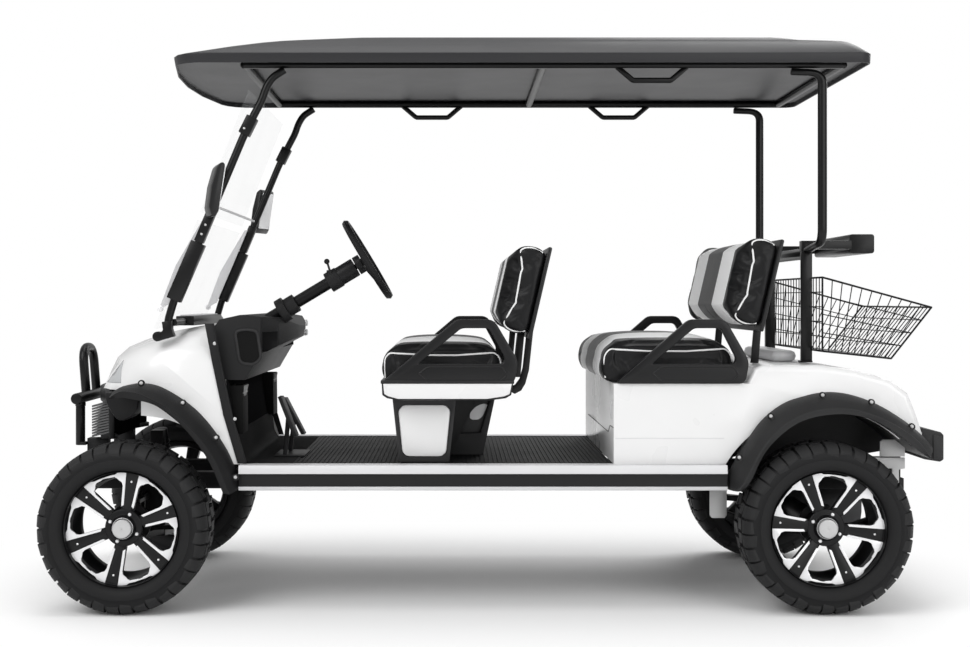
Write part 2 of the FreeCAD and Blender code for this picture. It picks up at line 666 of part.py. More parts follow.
def floor_pieces():
    box_piece("floor_pan", "-(body_half - floor_inset)", "body_half - floor_inset",
              "FRONT + floor_front_f", "REAR + floor_back_r",
              "rail_top", "floor_top")
    body = box_piece("floor_mat", "-(body_half - mat_inset)", "body_half - mat_inset",
                     "FRONT + mat_front_f", "REAR + mat_back_r",
                     "floor_top", "mat_top")
    sketch = sketch_on(body, "XY_Plane", "mat_top")
    rectangle(sketch, "-(body_half - mat_inset) + rib_width", "FRONT + mat_front_f + rib_width",
              "body_half - mat_inset - rib_width", "FRONT + mat_front_f + 2 * rib_width")
    rib = pad(body, sketch, "rib_height", "rib")
    ribs = body.newObject("PartDesign::LinearPattern", "floor_mat_ribs")
    ribs.Originals = [rib]
    ribs.Direction = (plane_of(body, "Y_Axis"), [""])
    span = "(REAR + mat_back_r - FRONT - mat_front_f - 3 * rib_width)"
    ribs.setExpression("Length", formula(f"floor({span} / rib_pitch) * rib_pitch"))
    ribs.setExpression("Occurrences", formula(f"floor({span} / rib_pitch) + 1"))
    body.Tip = ribs
    doc.recompute()


def rockers():
    """Side sills: a stepped section with a set-back panel, drawn along the side and mirrored."""
    body = body_of("rockers")
    sketch = sketch_on(body, "XZ_Plane", "-(FRONT + sill_front_f)")
    corners(sketch, [("body_half + sill_reach - sill_wall", "sill_low"),
                     ("body_half + sill_reach - sill_inset", "sill_low"),
                     ("body_half + sill_reach", "sill_panel_low"),
                     ("body_half + sill_reach - sill_inset", "sill_panel_low"),
                     ("body_half + sill_reach - sill_inset", "sill_panel_top"),
                     ("body_half + sill_reach", "sill_panel_top"),
                     ("body_half + sill_reach - sill_inset", "sill_top"),
                     ("body_half - mat_inset + seat_gap", "sill_top"),
                     ("body_half - mat_inset + seat_gap", "floor_top + seat_gap"),
                     ("body_half - floor_inset + seat_gap", "floor_top + seat_gap"),
                     ("body_half - floor_inset + seat_gap", "sill_panel_low"),
                     ("body_half + sill_reach - sill_wall", "sill_panel_low")])
    feature = pad(body, sketch, "REAR + sill_back_r - FRONT - sill_front_f")
    feature.Reversed = True
    mirror = body.newObject("PartDesign::Mirrored", "rockers_mirror")
    mirror.Originals = [feature]
    mirror.MirrorPlane = (plane_of(body, "YZ_Plane"), [""])
    body.Tip = mirror
    doc.recompute()


# Front body

def tail_y():
    """The rear body's rearmost line, which the tail pieces follow."""
    return rear + s.tub_front_r + s.tub_length


COWL_SHARES = [
    (0.0, 0.0, 1.0, 0.64, 0.07, 0.7), (0.49, 0.0, 1.0, 0.64, 0.08, 0.7), (0.62, 0.04, 1.0, 0.68, 0.11,
                                                                          0.72),
    (0.74, 0.09, 1.0, 0.73, 0.16, 0.74), (0.82, 0.17, 0.97, 0.77, 0.2, 0.75), (0.875, 0.29, 0.94, 0.77,
                                                                               0.22, 0.8),
    (0.94, 0.51, 0.9, 0.73, 0.18, 0.92), (1.0, 0.83, 0.85, 0.69, 0.1, 1.2)]


COWL_REAR_SHARES = [(0.888, 1.0), (0.937, 0.74), (1.026, 0.35), (1.14, 0.0)]


def cowl_blank(inset):
    """The front body's outer form through level outlines, or with an inset the hollow inside it."""
    y0, z0 = front + s.cowl_front_f + inset, s.cowl_low
    run, height = s.cowl_length, s.cowl_height
    levels = []
    for up, setback, width, nose, bow, corner in COWL_SHARES:
        z = z0 + height * up - inset
        x = s.body_half * width - inset
        tip, cheek = y0 + run * setback, y0 + run * (setback + bow)
        nose_x, side_y = s.body_half * nose, y0 + run * corner
        bend = V(x - (x - nose_x) * s.cowl_bend_share, cheek + (side_y - cheek) * s.cowl_turn_share, z)
        arcs = [(V(-x, side_y, z), V(-bend.x, bend.y, z), V(-nose_x, cheek, z)),
                (V(-nose_x, cheek, z), V(0, tip, z), V(nose_x, cheek, z)),
                (V(nose_x, cheek, z), bend, V(x, side_y, z))]
        level = [V(max(-x, min(x, p.x)), p.y, z) for p in chords(arcs, 4)]
        levels.append(level + [V(x, y0 + 2 * run, z), V(-x, y0 + 2 * run, z)])
    return skinned(levels)


LAMP_SHARES = [(0.135, 0.57), (0.268, 0.735), (0.275, 0.575)]


def lamp_prism(grow):
    """The headlamps' outline in the side view, drawn through the body's cheeks."""
    points = side_points(LAMP_SHARES, front + s.cowl_front_f, s.cowl_low, s.cowl_length, s.cowl_height)
    wire = Part.makePolygon(points + points[:1])
    if grow:
        wire = wire.makeOffset2D(grow, 2)
    return sliced(wire, s.lamp_x, s.body_half + s.sill_reach)


def front_body():
    """The front body shell, open below, at the wheels and behind, with the lamps let into its cheeks."""
    y0, wide = front + s.cowl_front_f, s.body_half + s.sill_reach
    rear_edge = side_points(COWL_REAR_SHARES, y0, s.cowl_low, s.cowl_length, s.cowl_height)
    top, far = s.cowl_low + 2 * s.cowl_height, y0 + 3 * s.cowl_length
    behind = slab([V(0, rear_edge[0].y, top)] + rear_edge + [V(0, rear_edge[-1].y, 0), V(0, far, 0),
                                                             V(0, far, top)], -wide, wide)
    outer = cowl_blank(0).cut(behind)
    shell = outer.cut(cowl_blank(s.body_wall))
    below = block(-wide, wide, y0 - s.cowl_length, front + s.arch_centre_f, 0, s.bumper_top + s.seat_gap)
    arch = disc_x(-wide, wide, front + s.arch_centre_f, s.arch_z, s.arch_radius)
    shell = shell.cut(below).cut(arch)
    keep("cowl", biggest(shell.cut(both_sides(lamp_prism(s.lamp_gap)))))
    keep("headlamps", outer.common(both_sides(lamp_prism(0))).cut(cowl_blank(s.lamp_depth)))


def biggest(shape):
    return max(shape.Solids, key=lambda solid: solid.Volume)


def front_bumper():
    """The black moulding under the nose: a bowed bar with cheeks, and the grille's surround below."""
    y0, y1 = front + s.bumper_front_f, front + s.bumper_back_f
    z0, z1, x = s.bumper_low, s.bumper_top, s.bumper_half
    bow = s.bumper_bow
    plan = chord_runs([V(-x, y0 + bow, 0), V(0, y0, 0), V(x, y0 + bow, 0)],
                      [V(x, y1, 0), V(0, y1 - bow / 2, 0), V(-x, y1, 0)])
    body = Part.Face(plan).extrude(V(0, 0, z1 - z0))
    body.translate(V(0, 0, z0))
    opening = block(-s.grille_half, s.grille_half, y0 - bow, y1 + bow, s.grille_low, s.grille_top)
    under = block(s.grille_half + s.cheek_wall, x + bow, y0 - bow, y1 + bow, 0, s.cheek_low)
    keep("front_bumper", body.cut(opening).cut(both_sides(under)))


def grille():
    """Level slats on three uprights, set into the bumper's opening."""
    x = s.grille_half - s.seat_gap
    y0 = front + s.grille_front_f
    pitch = (s.grille_top - s.grille_low - s.slat_thickness) / (s.grille_slats + 1)
    parts = []
    for i in range(int(s.grille_slats)):
        z = s.grille_low + pitch * (i + 1)
        parts.append(block(-x, x, y0, y0 + s.slat_depth, z, z + s.slat_thickness))
    for sign in (-1, 0, 1):
        middle = sign * x / 2
        parts.append(block(middle - s.slat_thickness, middle + s.slat_thickness,
                           y0 + s.slat_depth, y0 + s.slat_depth * 3 / 2, s.grille_low + s.seat_gap,
                           s.grille_top - s.seat_gap))
    keep("grille", fused(parts))


def brush_guard():
    """Bent tube: hip legs, a level cross tube and a narrow centre hoop, on tabs from the frame horns."""
    r, lean = s.guard_radius, s.guard_lean
    y = front + s.guard_front_f + r
    cross_y = y + lean
    hoop = [V(-s.guard_half, cross_y, s.guard_cross_z), V(-s.guard_half, y, s.guard_top - r),
            V(s.guard_half, y, s.guard_top - r), V(s.guard_half, cross_y, s.guard_cross_z)]
    parts = [bar_along(eased(hoop, 2 * r, 3), r, 8),
             prism_x(-s.guard_cross_half, s.guard_cross_half, cross_y, s.guard_cross_z,
                     s.guard_cross_radius, 12)]
    for sign in (1, -1):
        x = sign * s.guard_hip
        parts.append(bar_along([V(x, cross_y, s.guard_low), V(x, cross_y, s.guard_cross_z)], r, 8))
        parts.append(block(x - r, x + r, cross_y, front + s.horn_front_f - s.seat_gap,
                           s.guard_low, s.guard_low + s.guard_tab))
    keep("brush_guard", fused(parts))


FRONT_FLARE_OUT_SHARES = [(0.0, 0.957), (0.16, 1.0), (0.332, 0.946), (0.682, 0.56), (0.901, 0.068)]


FRONT_FLARE_IN_SHARES = [(0.778, -0.027), (0.587, 0.465), (0.332, 0.77), (0.112, 0.851), (-0.097, 0.876)]


REAR_FLARE_OUT_SHARES = [(0.011, 0.271), (0.195, 0.756), (0.524, 1.0), (0.77, 0.882), (1.0, 0.518)]


REAR_FLARE_IN_SHARES = [(0.93, 0.455), (0.778, 0.709), (0.574, 0.826), (0.254, 0.547), (0.071, 0.003)]


def flare(shares_out, shares_in, y0, length, height):
    """A moulded arch lip: a hollow behind a face strip, with a wall along the outer edge."""
    z0, wall = s.sill_low, s.flare_wall
    out_line = side_points(shares_out, y0, z0, length, height)
    in_line = side_points(shares_in, y0, z0, length, height)
    inner, outer = s.body_half + s.seat_gap, s.body_half + s.flare_reach
    whole = sliced(chord_runs(out_line, in_line), inner, outer)
    drop = V(0, 0, wall)
    hollow_in = [point - drop * 4 for point in in_line]
    hollow = sliced(chord_runs([point - drop for point in out_line], hollow_in), inner - wall,
                    outer - wall)
    sill = block(0, s.body_half + s.sill_reach + s.seat_gap, front + s.sill_front_f - s.seat_gap,
                 rear + s.sill_back_r + s.seat_gap, 0, s.sill_top + s.seat_gap)
    return biggest(whole.cut(hollow).cut(sill))


def flares():
    front_piece = flare(FRONT_FLARE_OUT_SHARES, FRONT_FLARE_IN_SHARES, front, s.front_flare_length,
                        s.front_flare_height)
    keep("front_flares", both_sides(front_piece))
    rear_piece = flare(REAR_FLARE_OUT_SHARES, REAR_FLARE_IN_SHARES, rear + s.sill_back_r + s.seat_gap,
                       s.rear_flare_length, s.rear_flare_height)
    keep("rear_flares", both_sides(rear_piece))


# Dash and footwell

DASH_SHARES = [(0.0, 0.05), (0.0, 0.80), (0.08, 0.93), (0.35, 1.0), (0.85, 0.95), (1.0, 0.80),
               (0.98, 0.62), (0.62, 0.40), (0.42, 0.0), (0.2, 0.0)]


def dash():
    """The dashboard: a moulded side profile with cubbies cut in, and a hole for the column."""
    y0 = front + s.dash_front_f
    body = slab(side_points(DASH_SHARES, y0, s.dash_low, s.dash_depth, s.dash_height), -s.dash_half,
                s.dash_half)
    ends, ahead = y0 + s.dash_depth * s.dash_end_share, y0 - s.dash_depth
    plan = arc_runs([V(-s.dash_half, ends, 0), V(0, y0 + s.dash_depth, 0), V(s.dash_half, ends, 0)],
                    [V(s.dash_half, ahead, 0)], [V(-s.dash_half, ahead, 0)])
    body = body.common(Part.Face(plan).extrude(V(0, 0, s.roof_low)))
    y_cut = y0 + s.dash_depth - s.cubby_depth
    for x0, x1 in ((s.cubby_inner, s.dash_half - s.cubby_wall), (-s.dash_half + s.cubby_wall,
                                                                 -s.glove_inner)):
        body = body.cut(block(x0, x1, y_cut, y0 + s.dash_depth * 2, s.cubby_low, s.cubby_top))
    body = body.cut(column_core(s.column_radius + s.seat_gap))
    keep("dash", body)


def column_axis():
    """The wheel's centre, and the direction from the dash up to it."""
    angle = math.radians(s.steer_angle)
    return V(s.wheel_x, front + s.wheel_f, s.wheel_z), V(0, math.cos(angle), math.sin(angle))


def column_core(radius):
    centre, way = column_axis()
    foot = centre - way * (s.column_length + s.steer_dish)
    return bar(foot, centre - way * (s.steer_hub_depth + s.column_gap), radius)


def steering():
    """Column with its shroud and shaft, and the three-spoke wheel on the shaft's end."""
    centre, way = column_axis()
    hub_foot = centre - way * s.steer_hub_depth
    column_end = hub_foot - way * s.column_gap
    shaft = bar(column_end - way * s.shaft_reach, hub_foot + way * s.shaft_reach, s.shaft_radius)
    shroud = bar_along([column_end - way * s.shroud_length, column_end], s.shroud_radius, 12)
    keep("steering_column", fused([column_core(s.column_radius), shroud, shaft]))
    grip, middle = s.steer_grip, s.steer_radius - s.steer_grip
    angles = around(6)
    ring = turned([(grip * math.cos(a), middle + grip * math.sin(a)) for a in angles], 28)
    parts = [ring, prism_x(-s.steer_hub_depth, -s.steer_dish, 0, 0, s.steer_hub_radius, 16)]
    thick = s.steer_spoke_thick
    for turn in (90, 270, 180):
        arm = flat_face([V(-s.steer_dish - thick, -s.steer_spoke_half, 0), V(-thick / 2,
                                                                             -s.steer_spoke_half, middle),
                         V(thick / 2, -s.steer_spoke_half, middle), V(-s.steer_dish,
                                                                      -s.steer_spoke_half, 0)])
        arm = arm.extrude(V(0, 2 * s.steer_spoke_half, 0))
        arm.rotate(V(0, 0, 0), V(1, 0, 0), turn)
        parts.append(arm)
    wheel = fused(parts).cut(disc_x(-s.steer_hub_depth - s.overrun,
                                    s.shaft_reach + s.seat_gap - s.steer_hub_depth,
                                    0, 0, s.shaft_radius + s.shaft_clearance))
    wheel.rotate(V(0, 0, 0), V(0, 0, 1), 90)
    wheel.rotate(V(0, 0, 0), V(1, 0, 0), s.steer_angle)
    wheel.translate(centre)
    keep("steering_wheel", wheel)


def kick_panel():
    """The sloped panel from the dash down to the floor, with side returns."""
    y_low, y_top = front + s.panel_low_f, front + s.panel_top_f
    wall = s.panel_wall
    points = [V(0, y_low - wall, s.floor_top + s.seat_gap), V(0, y_low, s.floor_top + s.seat_gap),
              V(0, y_top + wall, s.dash_low - s.seat_gap), V(0, y_top, s.dash_low - s.seat_gap)]
    keep("kick_panel", slab(points, -s.panel_half, s.panel_half))


def panel_y(z):
    """The kick panel's rear face at a height."""
    share = (z - s.floor_top) / (s.dash_low - s.floor_top)
    return front + s.panel_low_f + (s.panel_top_f + s.panel_wall - s.panel_low_f) * share


def side_pockets():
    """Open pockets on the kick panel, one before each seat."""
    low, top = s.pocket_low, s.pocket_top
    gap = s.seat_gap
    back = [V(0, panel_y(low) + gap, low), V(0, panel_y(top) + gap, top)]
    points = [back[0], V(0, back[0].y + s.pocket_depth / 2, low), V(0, back[1].y + s.pocket_depth, top),
              back[1]]
    outer = slab(points, s.pocket_x - s.pocket_half, s.pocket_x + s.pocket_half)
    wall = s.body_wall
    inner_points = [points[0] + V(0, wall, wall), points[1] + V(0, -wall, wall),
                    points[2] + V(0, -wall, wall), points[3] + V(0, wall, wall)]
    inner = slab(inner_points, s.pocket_x - s.pocket_half + wall, s.pocket_x + s.pocket_half - wall)
    keep("side_pockets", both_sides(outer.cut(inner)))


def pedals():
    """Hinged pads with arms, standing on a floor plate."""
    z0, y = s.mat_top + s.rib_height + s.seat_gap, front + s.pedal_front_f
    plate = s.pedal_plate
    parts = []
    for x, width, run, height in ((s.brake_x, s.brake_width, s.brake_run, s.brake_height),
                                  (s.throttle_x, s.throttle_width, s.throttle_run, s.throttle_height)):
        low = z0 + height / 3
        face = [V(0, y, z0 + height), V(0, y + plate, z0 + height), V(0, y + run, low),
                V(0, y + run - plate, low)]
        parts.append(slab(face, x - width / 2, x + width / 2))
        arm = strip([V(0, y + run / 2, z0 + height * 2 / 3), V(0, y + run / 3, z0 + s.body_wall)], plate)
        parts.append(slab(arm, x - plate, x + plate))
    parts.append(block(s.throttle_x - s.throttle_width / 2, s.brake_x + s.brake_width / 2, y - plate,
                       y + s.throttle_run + plate, z0, z0 + s.body_wall))
    keep("pedals", fused(parts))


# Windscreen, posts, mirrors and roof

POST_SHARES = [(0.0, 0.0), (0.09, 0.128), (0.25, 0.316), (0.41, 0.505), (0.615, 0.693),
               (0.72, 0.786), (0.78, 0.828), (0.87, 0.92), (0.92, 0.97), (1.0, 1.0)]


POST_KNEE = 5


def post_line():
    """The front posts' centre line in the side view."""
    y0, z0 = front + s.post_foot_f, s.post_foot_z
    return side_points(POST_SHARES, y0, z0, s.post_top_f - s.post_foot_f, s.post_top_z - z0)


def front_posts():
    """Bent box posts that stand on the front body, with clips that hold the windscreen."""
    line = post_line()
    foot = line[0] + (line[0] - line[1]).normalize() * s.post_foot_reach
    x0, x1 = s.post_x - s.post_side / 2, s.post_x + s.post_side / 2
    run = line[-1] + V(0, s.post_top_run, 0)
    parts = [slab(strip([foot] + line + [run], s.post_width), x0, x1)]
    along = screen_way()
    ahead = V(0, -along.z, along.y)
    reach = s.post_width / 2 + s.glass_forward - s.glass_thickness / 2 - s.seat_gap
    for z in (s.glass_low_z + s.clip_half * 2, s.glass_split_z - s.clip_half * 2,
              s.glass_split_z + s.clip_half * 2, s.glass_high_z - s.clip_half * 2):
        at = post_point(z)
        parts.append(slab(strip([at, at + ahead * reach], s.clip_half), s.glass_half - s.clip_half, x1))
    whole = fused(parts).cut(cowl_blank(-2 * s.seat_gap))
    below_rail = block(0, s.body_half + s.sill_reach, front - s.wheelbase, rear, 0, rail_under())
    keep("front_posts", both_sides(biggest(whole.common(below_rail))))


def post_point(z):
    """The posts' centre line at a height, along its long middle stretch."""
    low, high = post_line()[0], post_line()[POST_KNEE]
    share = (z - low.z) / (high.z - low.z)
    return V(0, low.y + (high.y - low.y) * share, z)


def screen_way():
    """The direction up along the windscreen."""
    return (post_line()[POST_KNEE] - post_line()[0]).normalize()


def windscreen():
    """Two clear panes just ahead of the posts, with clips that hold them to the posts."""
    along = screen_way()
    ahead = V(0, -along.z, along.y) * (s.post_width / 2 + s.glass_forward)
    split = s.glass_split_z
    panes = []
    for z0, z1 in ((s.glass_low_z, split - s.glass_split_gap / 2),
                   (split + s.glass_split_gap / 2, s.glass_high_z)):
        panes.append(slab(strip([post_point(z0) + ahead, post_point(z1) + ahead], s.glass_thickness),
                          -s.glass_half, s.glass_half))
    keep("windscreen", Part.makeCompound(panes))


def roof_blank(inset):
    """The roof's form through level plan outlines with bowed fronts, or with an inset its hollow."""
    z0, rise = s.roof_low, s.roof_height
    y0, y1 = front + s.roof_front_f, rear + s.roof_back_r
    sections = []
    for height, width, setback, tail, corner in ROOF_SHARES:
        sections.append(roof_plan(s.roof_half * width - inset, y0 + s.roof_corner * setback + inset,
                                  y1 - s.roof_corner * tail - inset, s.roof_corner * corner - inset / 2,
                                  z0 + rise * height - inset))
    return skinned(sections)


def rail_under():
    """Just under the roof rails, where posts and handles meet them."""
    return s.roof_rail_z - s.roof_rail_radius - s.seat_gap


ROOF_SHARES = [(0.0, 0.99, 0.03, 0.0, 0.6), (0.28, 1.0, 0.0, 0.0, 0.6), (0.3, 0.997, 0.03, 0.0, 0.6),
               (0.64, 0.88, 0.85, 0.1, 0.9), (0.82, 0.82, 1.4, 0.2, 1.1), (0.86, 0.81, 1.75, 1.1, 1.2),
               (0.98, 0.76, 2.9, 1.45, 1.4), (1.0, 0.6, 4.2, 1.9, 1.6)]


def roof():
    """The moulded roof with the flat ceiling panel that lies on the roof frame."""
    outer, inner = roof_blank(0), roof_blank(s.roof_wall)
    z = s.roof_rail_z + s.roof_rail_radius + s.seat_gap
    reach = rear + s.roof_back_r - front
    ceiling = block(-s.roof_half, s.roof_half, front - reach, rear + reach, z, z + s.ceiling_wall)
    keep("roof", outer.cut(inner).fuse(ceiling.common(inner)).removeSplitter())


def roof_plan(x, y0, y1, r, z):
    """A level outline with a bowed front edge, long front corners and tight back corners."""
    bow, back, deep = s.roof_bow, r / 2, r * s.roof_corner_share
    k = 1 - math.cos(math.pi / 4)
    y = y0 + bow
    right = [(V(x - r, y, z), V(x - r * k, y + deep * k, z), V(x, y + deep, z)),
             (V(x, y1 - back, z), V(x - back * k, y1 - back * k, z), V(x - back, y1, z))]
    left = [tuple(V(-p.x, p.y, p.z) for p in arc[::-1]) for arc in right[::-1]]
    return chords([(V(-x + r, y, z), V(0, y0, z), V(x - r, y, z))] + right + left, 4)


def roof_frame():
    """A tube loop under the roof with a middle bow."""
    z, x, r = s.roof_rail_z, s.roof_rail_x, s.roof_rail_radius
    y0, y1 = front + s.roof_frame_front_f, rear + s.roof_back_r - s.roof_frame_inset
    parts = [bar_along([V(sign * x, y0, z), V(sign * x, y1, z)], r, 8) for sign in (1, -1)]
    for y in (y0, (y0 + y1) / 2, y1):
        parts.append(prism_x(-x, x, y, z, r, 8))
    keep("roof_frame", fused(parts))


def strut_y():
    return tail_y() - s.strut_forward


def rear_struts():
    """Bent tubes from the roof rails down, in to the rear posts and on to the deck."""
    y, x, post = strut_y(), s.strut_x, s.stand_x
    line = [V(x, y, rail_under()), V(x, y, s.strut_bend_z), V(post, y, s.strut_bend_z - s.strut_drop),
            V(post, y, s.tub_deck_z + s.seat_gap)]
    half, deep = s.strut_side / 2, s.strut_width / 2
    outline = [V(p.x, 0, p.z) for p in eased(line, s.strut_width / 2, 3)]
    face = flat_face(front_strip(outline, 2 * half))
    tube = face.extrude(V(0, 2 * deep, 0))
    tube.translate(V(0, y - deep, 0))
    keep("rear_struts", both_sides(tube))


def front_strip(points, width):
    """The outline of a strip of even width about a line of points in the front view."""
    turned_points = [V(0, p.x, p.z) for p in points]
    return [V(p.y, 0, p.z) for p in strip(turned_points, width)]


def grab_handles():
    """Flat-bottomed loops under the roof rails: one for the front passenger, one each side behind."""
    under = rail_under()
    low, x, r = under - s.handle_drop, s.roof_rail_x, s.handle_radius
    loops = []
    for sign, back in ((-1, s.handle_front_f), (-1, s.handle_back_f), (1, s.handle_back_f)):
        y = front + back
        line = [V(sign * x, y - s.handle_half, under), V(sign * x, y - s.handle_flat, low),
                V(sign * x, y + s.handle_flat, low), V(sign * x, y + s.handle_half, under)]
        loop = bar_along(eased([line[0] + (line[0] - line[1]) / 2] + line[1:-1]
                               + [line[-1] + (line[-1] - line[-2]) / 2], 2 * r, 3), r, 6)
        loops.append(loop.common(block(-s.roof_half, s.roof_half, y - s.wheelbase, y + s.wheelbase, 0,
                                       under)))
    keep("grab_handles", Part.makeCompound(loops))


def mirrors():
    """Outside mirrors on short arms from the posts."""
    y, z0, z1 = front + s.mirror_f, s.mirror_low, s.mirror_top
    x = s.mirror_x
    corners_at = [V(x - s.mirror_half, 0, z1), V(x + s.mirror_half, 0, z1), V(x + s.mirror_half, 0, z0),
                  V(x - s.mirror_half, 0, z0)]
    start = (corners_at[0] + corners_at[-1]) / 2
    outline = eased([start] + corners_at + [start], s.mirror_depth / 2, 3)
    shell = flat_face(outline[:-1]).extrude(V(0, s.mirror_depth, 0))
    shell.translate(V(0, y - s.mirror_depth / 2, 0))
    lean = s.mirror_lean
    shell.rotate(V(x, y, z0), V(1, 0, 0), -lean)
    arm_z = z0 + (z1 - z0) / 4
    arm = prism_x(s.post_x + s.post_side / 2 + s.seat_gap, x, y, arm_z, s.mirror_arm_radius, 8)
    keep("mirrors", both_sides(fused([shell, arm])))


# Seats

PEDESTAL_CUT_SHARES = [(0.1, 0.34), (0.5, 0.9), (0.86, 0.9), (0.62, 0.36)]


def seat_base():
    """The front seat's moulded pedestal, hollow below, with recessed side panels and a cut-out core."""
    y0 = front + s.pedestal_front_f
    z0 = s.mat_top + s.rib_height + s.seat_gap
    z1 = s.pan_low - s.seat_gap
    length, core, wall = s.pedestal_length, s.pedestal_core_length, s.pedestal_wall
    taper = s.pedestal_taper
    wide = slab([V(0, y0 + taper, z0), V(0, y0 + length - taper, z0), V(0, y0 + length, z1), V(0, y0,
                                                                                               z1)],
                -s.pedestal_half, s.pedestal_half)
    tail = slab([V(0, y0 + length / 2, z0), V(0, y0 + core - taper * 2, z0), V(0, y0 + core, z1),
                 V(0, y0 + length / 2, z1)], -s.pedestal_core_half, s.pedestal_core_half)
    hollow = fused([block(-s.pedestal_half + wall * 3, s.pedestal_half - wall * 3, y0 + wall + taper,
                          y0 + length - wall - taper, z0 - wall, z1 - wall),
                    block(-s.pedestal_core_half + wall, s.pedestal_core_half - wall, y0 + wall + taper,
                          y0 + core - wall - taper * 2, z0 - wall, z1 - wall)])
    panel, space = pedestal_panel(0), pedestal_panel(s.seat_gap)
    cut_y = y0 + length
    window = side_points(PEDESTAL_CUT_SHARES, cut_y, z0, core - length, z1 - z0)
    base = fused([wide, tail]).cut(hollow).cut(both_sides(space))
    keep("seat_pedestal", base.cut(slab(window, -s.pedestal_half, s.pedestal_half)))
    keep("pedestal_panels", both_sides(panel))


def seat_pan():
    body = box_piece("seat_pan", "-pan_half", "pan_half", "FRONT + pan_front_f",
                     "FRONT + pan_front_f + pan_length", "pan_low", "pan_top")
    rounded(body, "pan_radius", edges_along(body, V(0, 0, 1)))


def cushions():
    for label, y0, length, top in (("front_cushion", "FRONT + cushion_front_f", "cushion_length",
                                    "cushion_top"),
                                   ("rear_cushion", "REAR + rear_cushion_r", "rear_cushion_length",
                                    "rear_cushion_top")):
        body = box_piece(label, "-cushion_half", "cushion_half", y0, f"{y0} + {length}",
                         "pan_top + seat_gap", top)
        rounded(body, "cushion_radius", edges_along(body, V(0, 0, 1)))


def backrests():
    """Leaning back cushions with rounded ends."""
    for label, y, low, height in (("front_backrest", front + s.back_f, s.back_low, s.back_height),
                                  ("rear_backrest", rear + s.rear_back_r, s.rear_back_low,
                                   s.back_height)):
        piece = block(-s.back_half, s.back_half, 0, s.back_thick, 0, s.back_height)
        piece = piece.makeFillet(s.back_radius, [e for e in piece.Edges
                                                 if e.BoundBox.YLength > s.back_thick / 2])
        piece.rotate(V(0, 0, 0), V(1, 0, 0), -s.back_lean)
        piece.translate(V(0, y, low))
        keep(label, piece)


PANEL_SHARES = [(0.08, 0.89), (0.92, 0.89), (0.84, 0.1), (0.16, 0.1)]


def pedestal_panel(grow):
    """The white panel let into the pedestal's side, or with growth the recess for it."""
    y0, z0 = front + s.pedestal_front_f, s.mat_top
    points = side_points(PANEL_SHARES, y0, z0, s.pedestal_length, s.pan_low - z0)
    wire = round_cornered(points, s.panel_corner)
    face = s.pedestal_half - s.panel_depth / 3
    if grow:
        wire = wire.makeOffset2D(grow, 2)
        face = s.pedestal_half + grow
    return sliced(wire, s.pedestal_half - s.panel_depth - grow, face)


def back_supports():
    """Bent bars that hold the front backrest on the seat pan and the rear one on the deck."""
    x, r = s.support_x, s.support_radius
    y = front + s.pan_front_f + s.pan_length + r + s.seat_gap
    bars = []
    for foot, bottom, low, height in (
            (V(x, y, s.pan_low), front + s.back_f, s.back_low, s.back_height),
            (None, rear + s.rear_back_r, s.rear_back_low, s.back_height)):
        base = behind_back(x, bottom, low, 0, r + s.seat_gap)
        foot = foot or V(x, base.y, s.tub_deck_z + s.seat_gap)
        line = [foot, base, behind_back(x, bottom, low, height / 3, r + s.seat_gap)]
        bars.append(slab(strip([V(0, p.y, p.z) for p in line], 2 * r), x - r, x + r))
    keep("back_supports", both_sides(Part.makeCompound(bars)))


def behind_back(x, y, low, up, clear):
    """A point behind a leaning backrest, so far up its rear face and so far clear of it."""
    lean = math.radians(s.back_lean)
    depth = s.back_thick + clear
    return V(x, y + depth * math.cos(lean) + up * math.sin(lean),
             low - depth * math.sin(lean) + up * math.cos(lean))


REST_OUT_SHARES = [(0.0, 0.0), (0.0, 0.06), (0.545, 1.0), (0.816, 1.0), (1.0, 0.351), (0.97, 0.0)]


REST_IN_SHARES = [(0.259, 0.306), (0.585, 0.86), (0.775, 0.86), (0.905, 0.306)]


def armrests():
    """Side rests: moulded frames with an open middle, on the pan's and tub's edges."""
    for label, y0, length in (("front_armrests", front + s.rest_front_f, s.rest_length),
                              ("rear_armrests", rear + s.rear_rest_r, s.rear_rest_length)):
        low = s.pan_top + s.seat_gap
        points = side_points(REST_OUT_SHARES, y0, low, length, s.rest_height)
        top = eased([points[1], points[2], points[3], points[4]], s.rest_bend, 3)
        outer = slab([points[0]] + top + [points[5]], s.rest_x, s.rest_x + s.rest_wall)
        hole = side_points(REST_IN_SHARES, y0, low, length, s.rest_height)
        hole = eased([hole[0], hole[1], hole[2], hole[3]], s.rest_bend - s.rest_wall, 3)
        keep(label, both_sides(outer.cut(slab(hole, s.rest_x - s.rest_wall, s.rest_x + 2 * s.rest_wall))))


# Rear body

TUB_SHARES = [(0.0, 0.0), (0.05, 0.8), (0.097, 1.0), (0.416, 1.0), (0.62, 0.75), (0.82, 0.19),
              (0.92, -0.54), (0.965, -1.6), (1.0, -2.6), (1.0, -4.3)]


def tub_blank(inset):
    """The rear body's side form: seat box, then the deck and tail drawn from the cushion's back."""
    y0 = rear + s.tub_front_r
    rise = rear + s.rear_cushion_r + s.rear_cushion_length + s.box_clear
    points = [V(0, y0, s.tub_low), V(0, y0, s.pan_top)]
    points += side_points(TUB_SHARES, rise, s.pan_top, tail_y() - rise, s.tub_deck_z - s.pan_top)
    wire = Part.makePolygon(points + points[:1])
    x = s.body_half - inset
    if inset:
        wire = wire.makeOffset2D(-inset)
    return sliced(wire, -x, x)


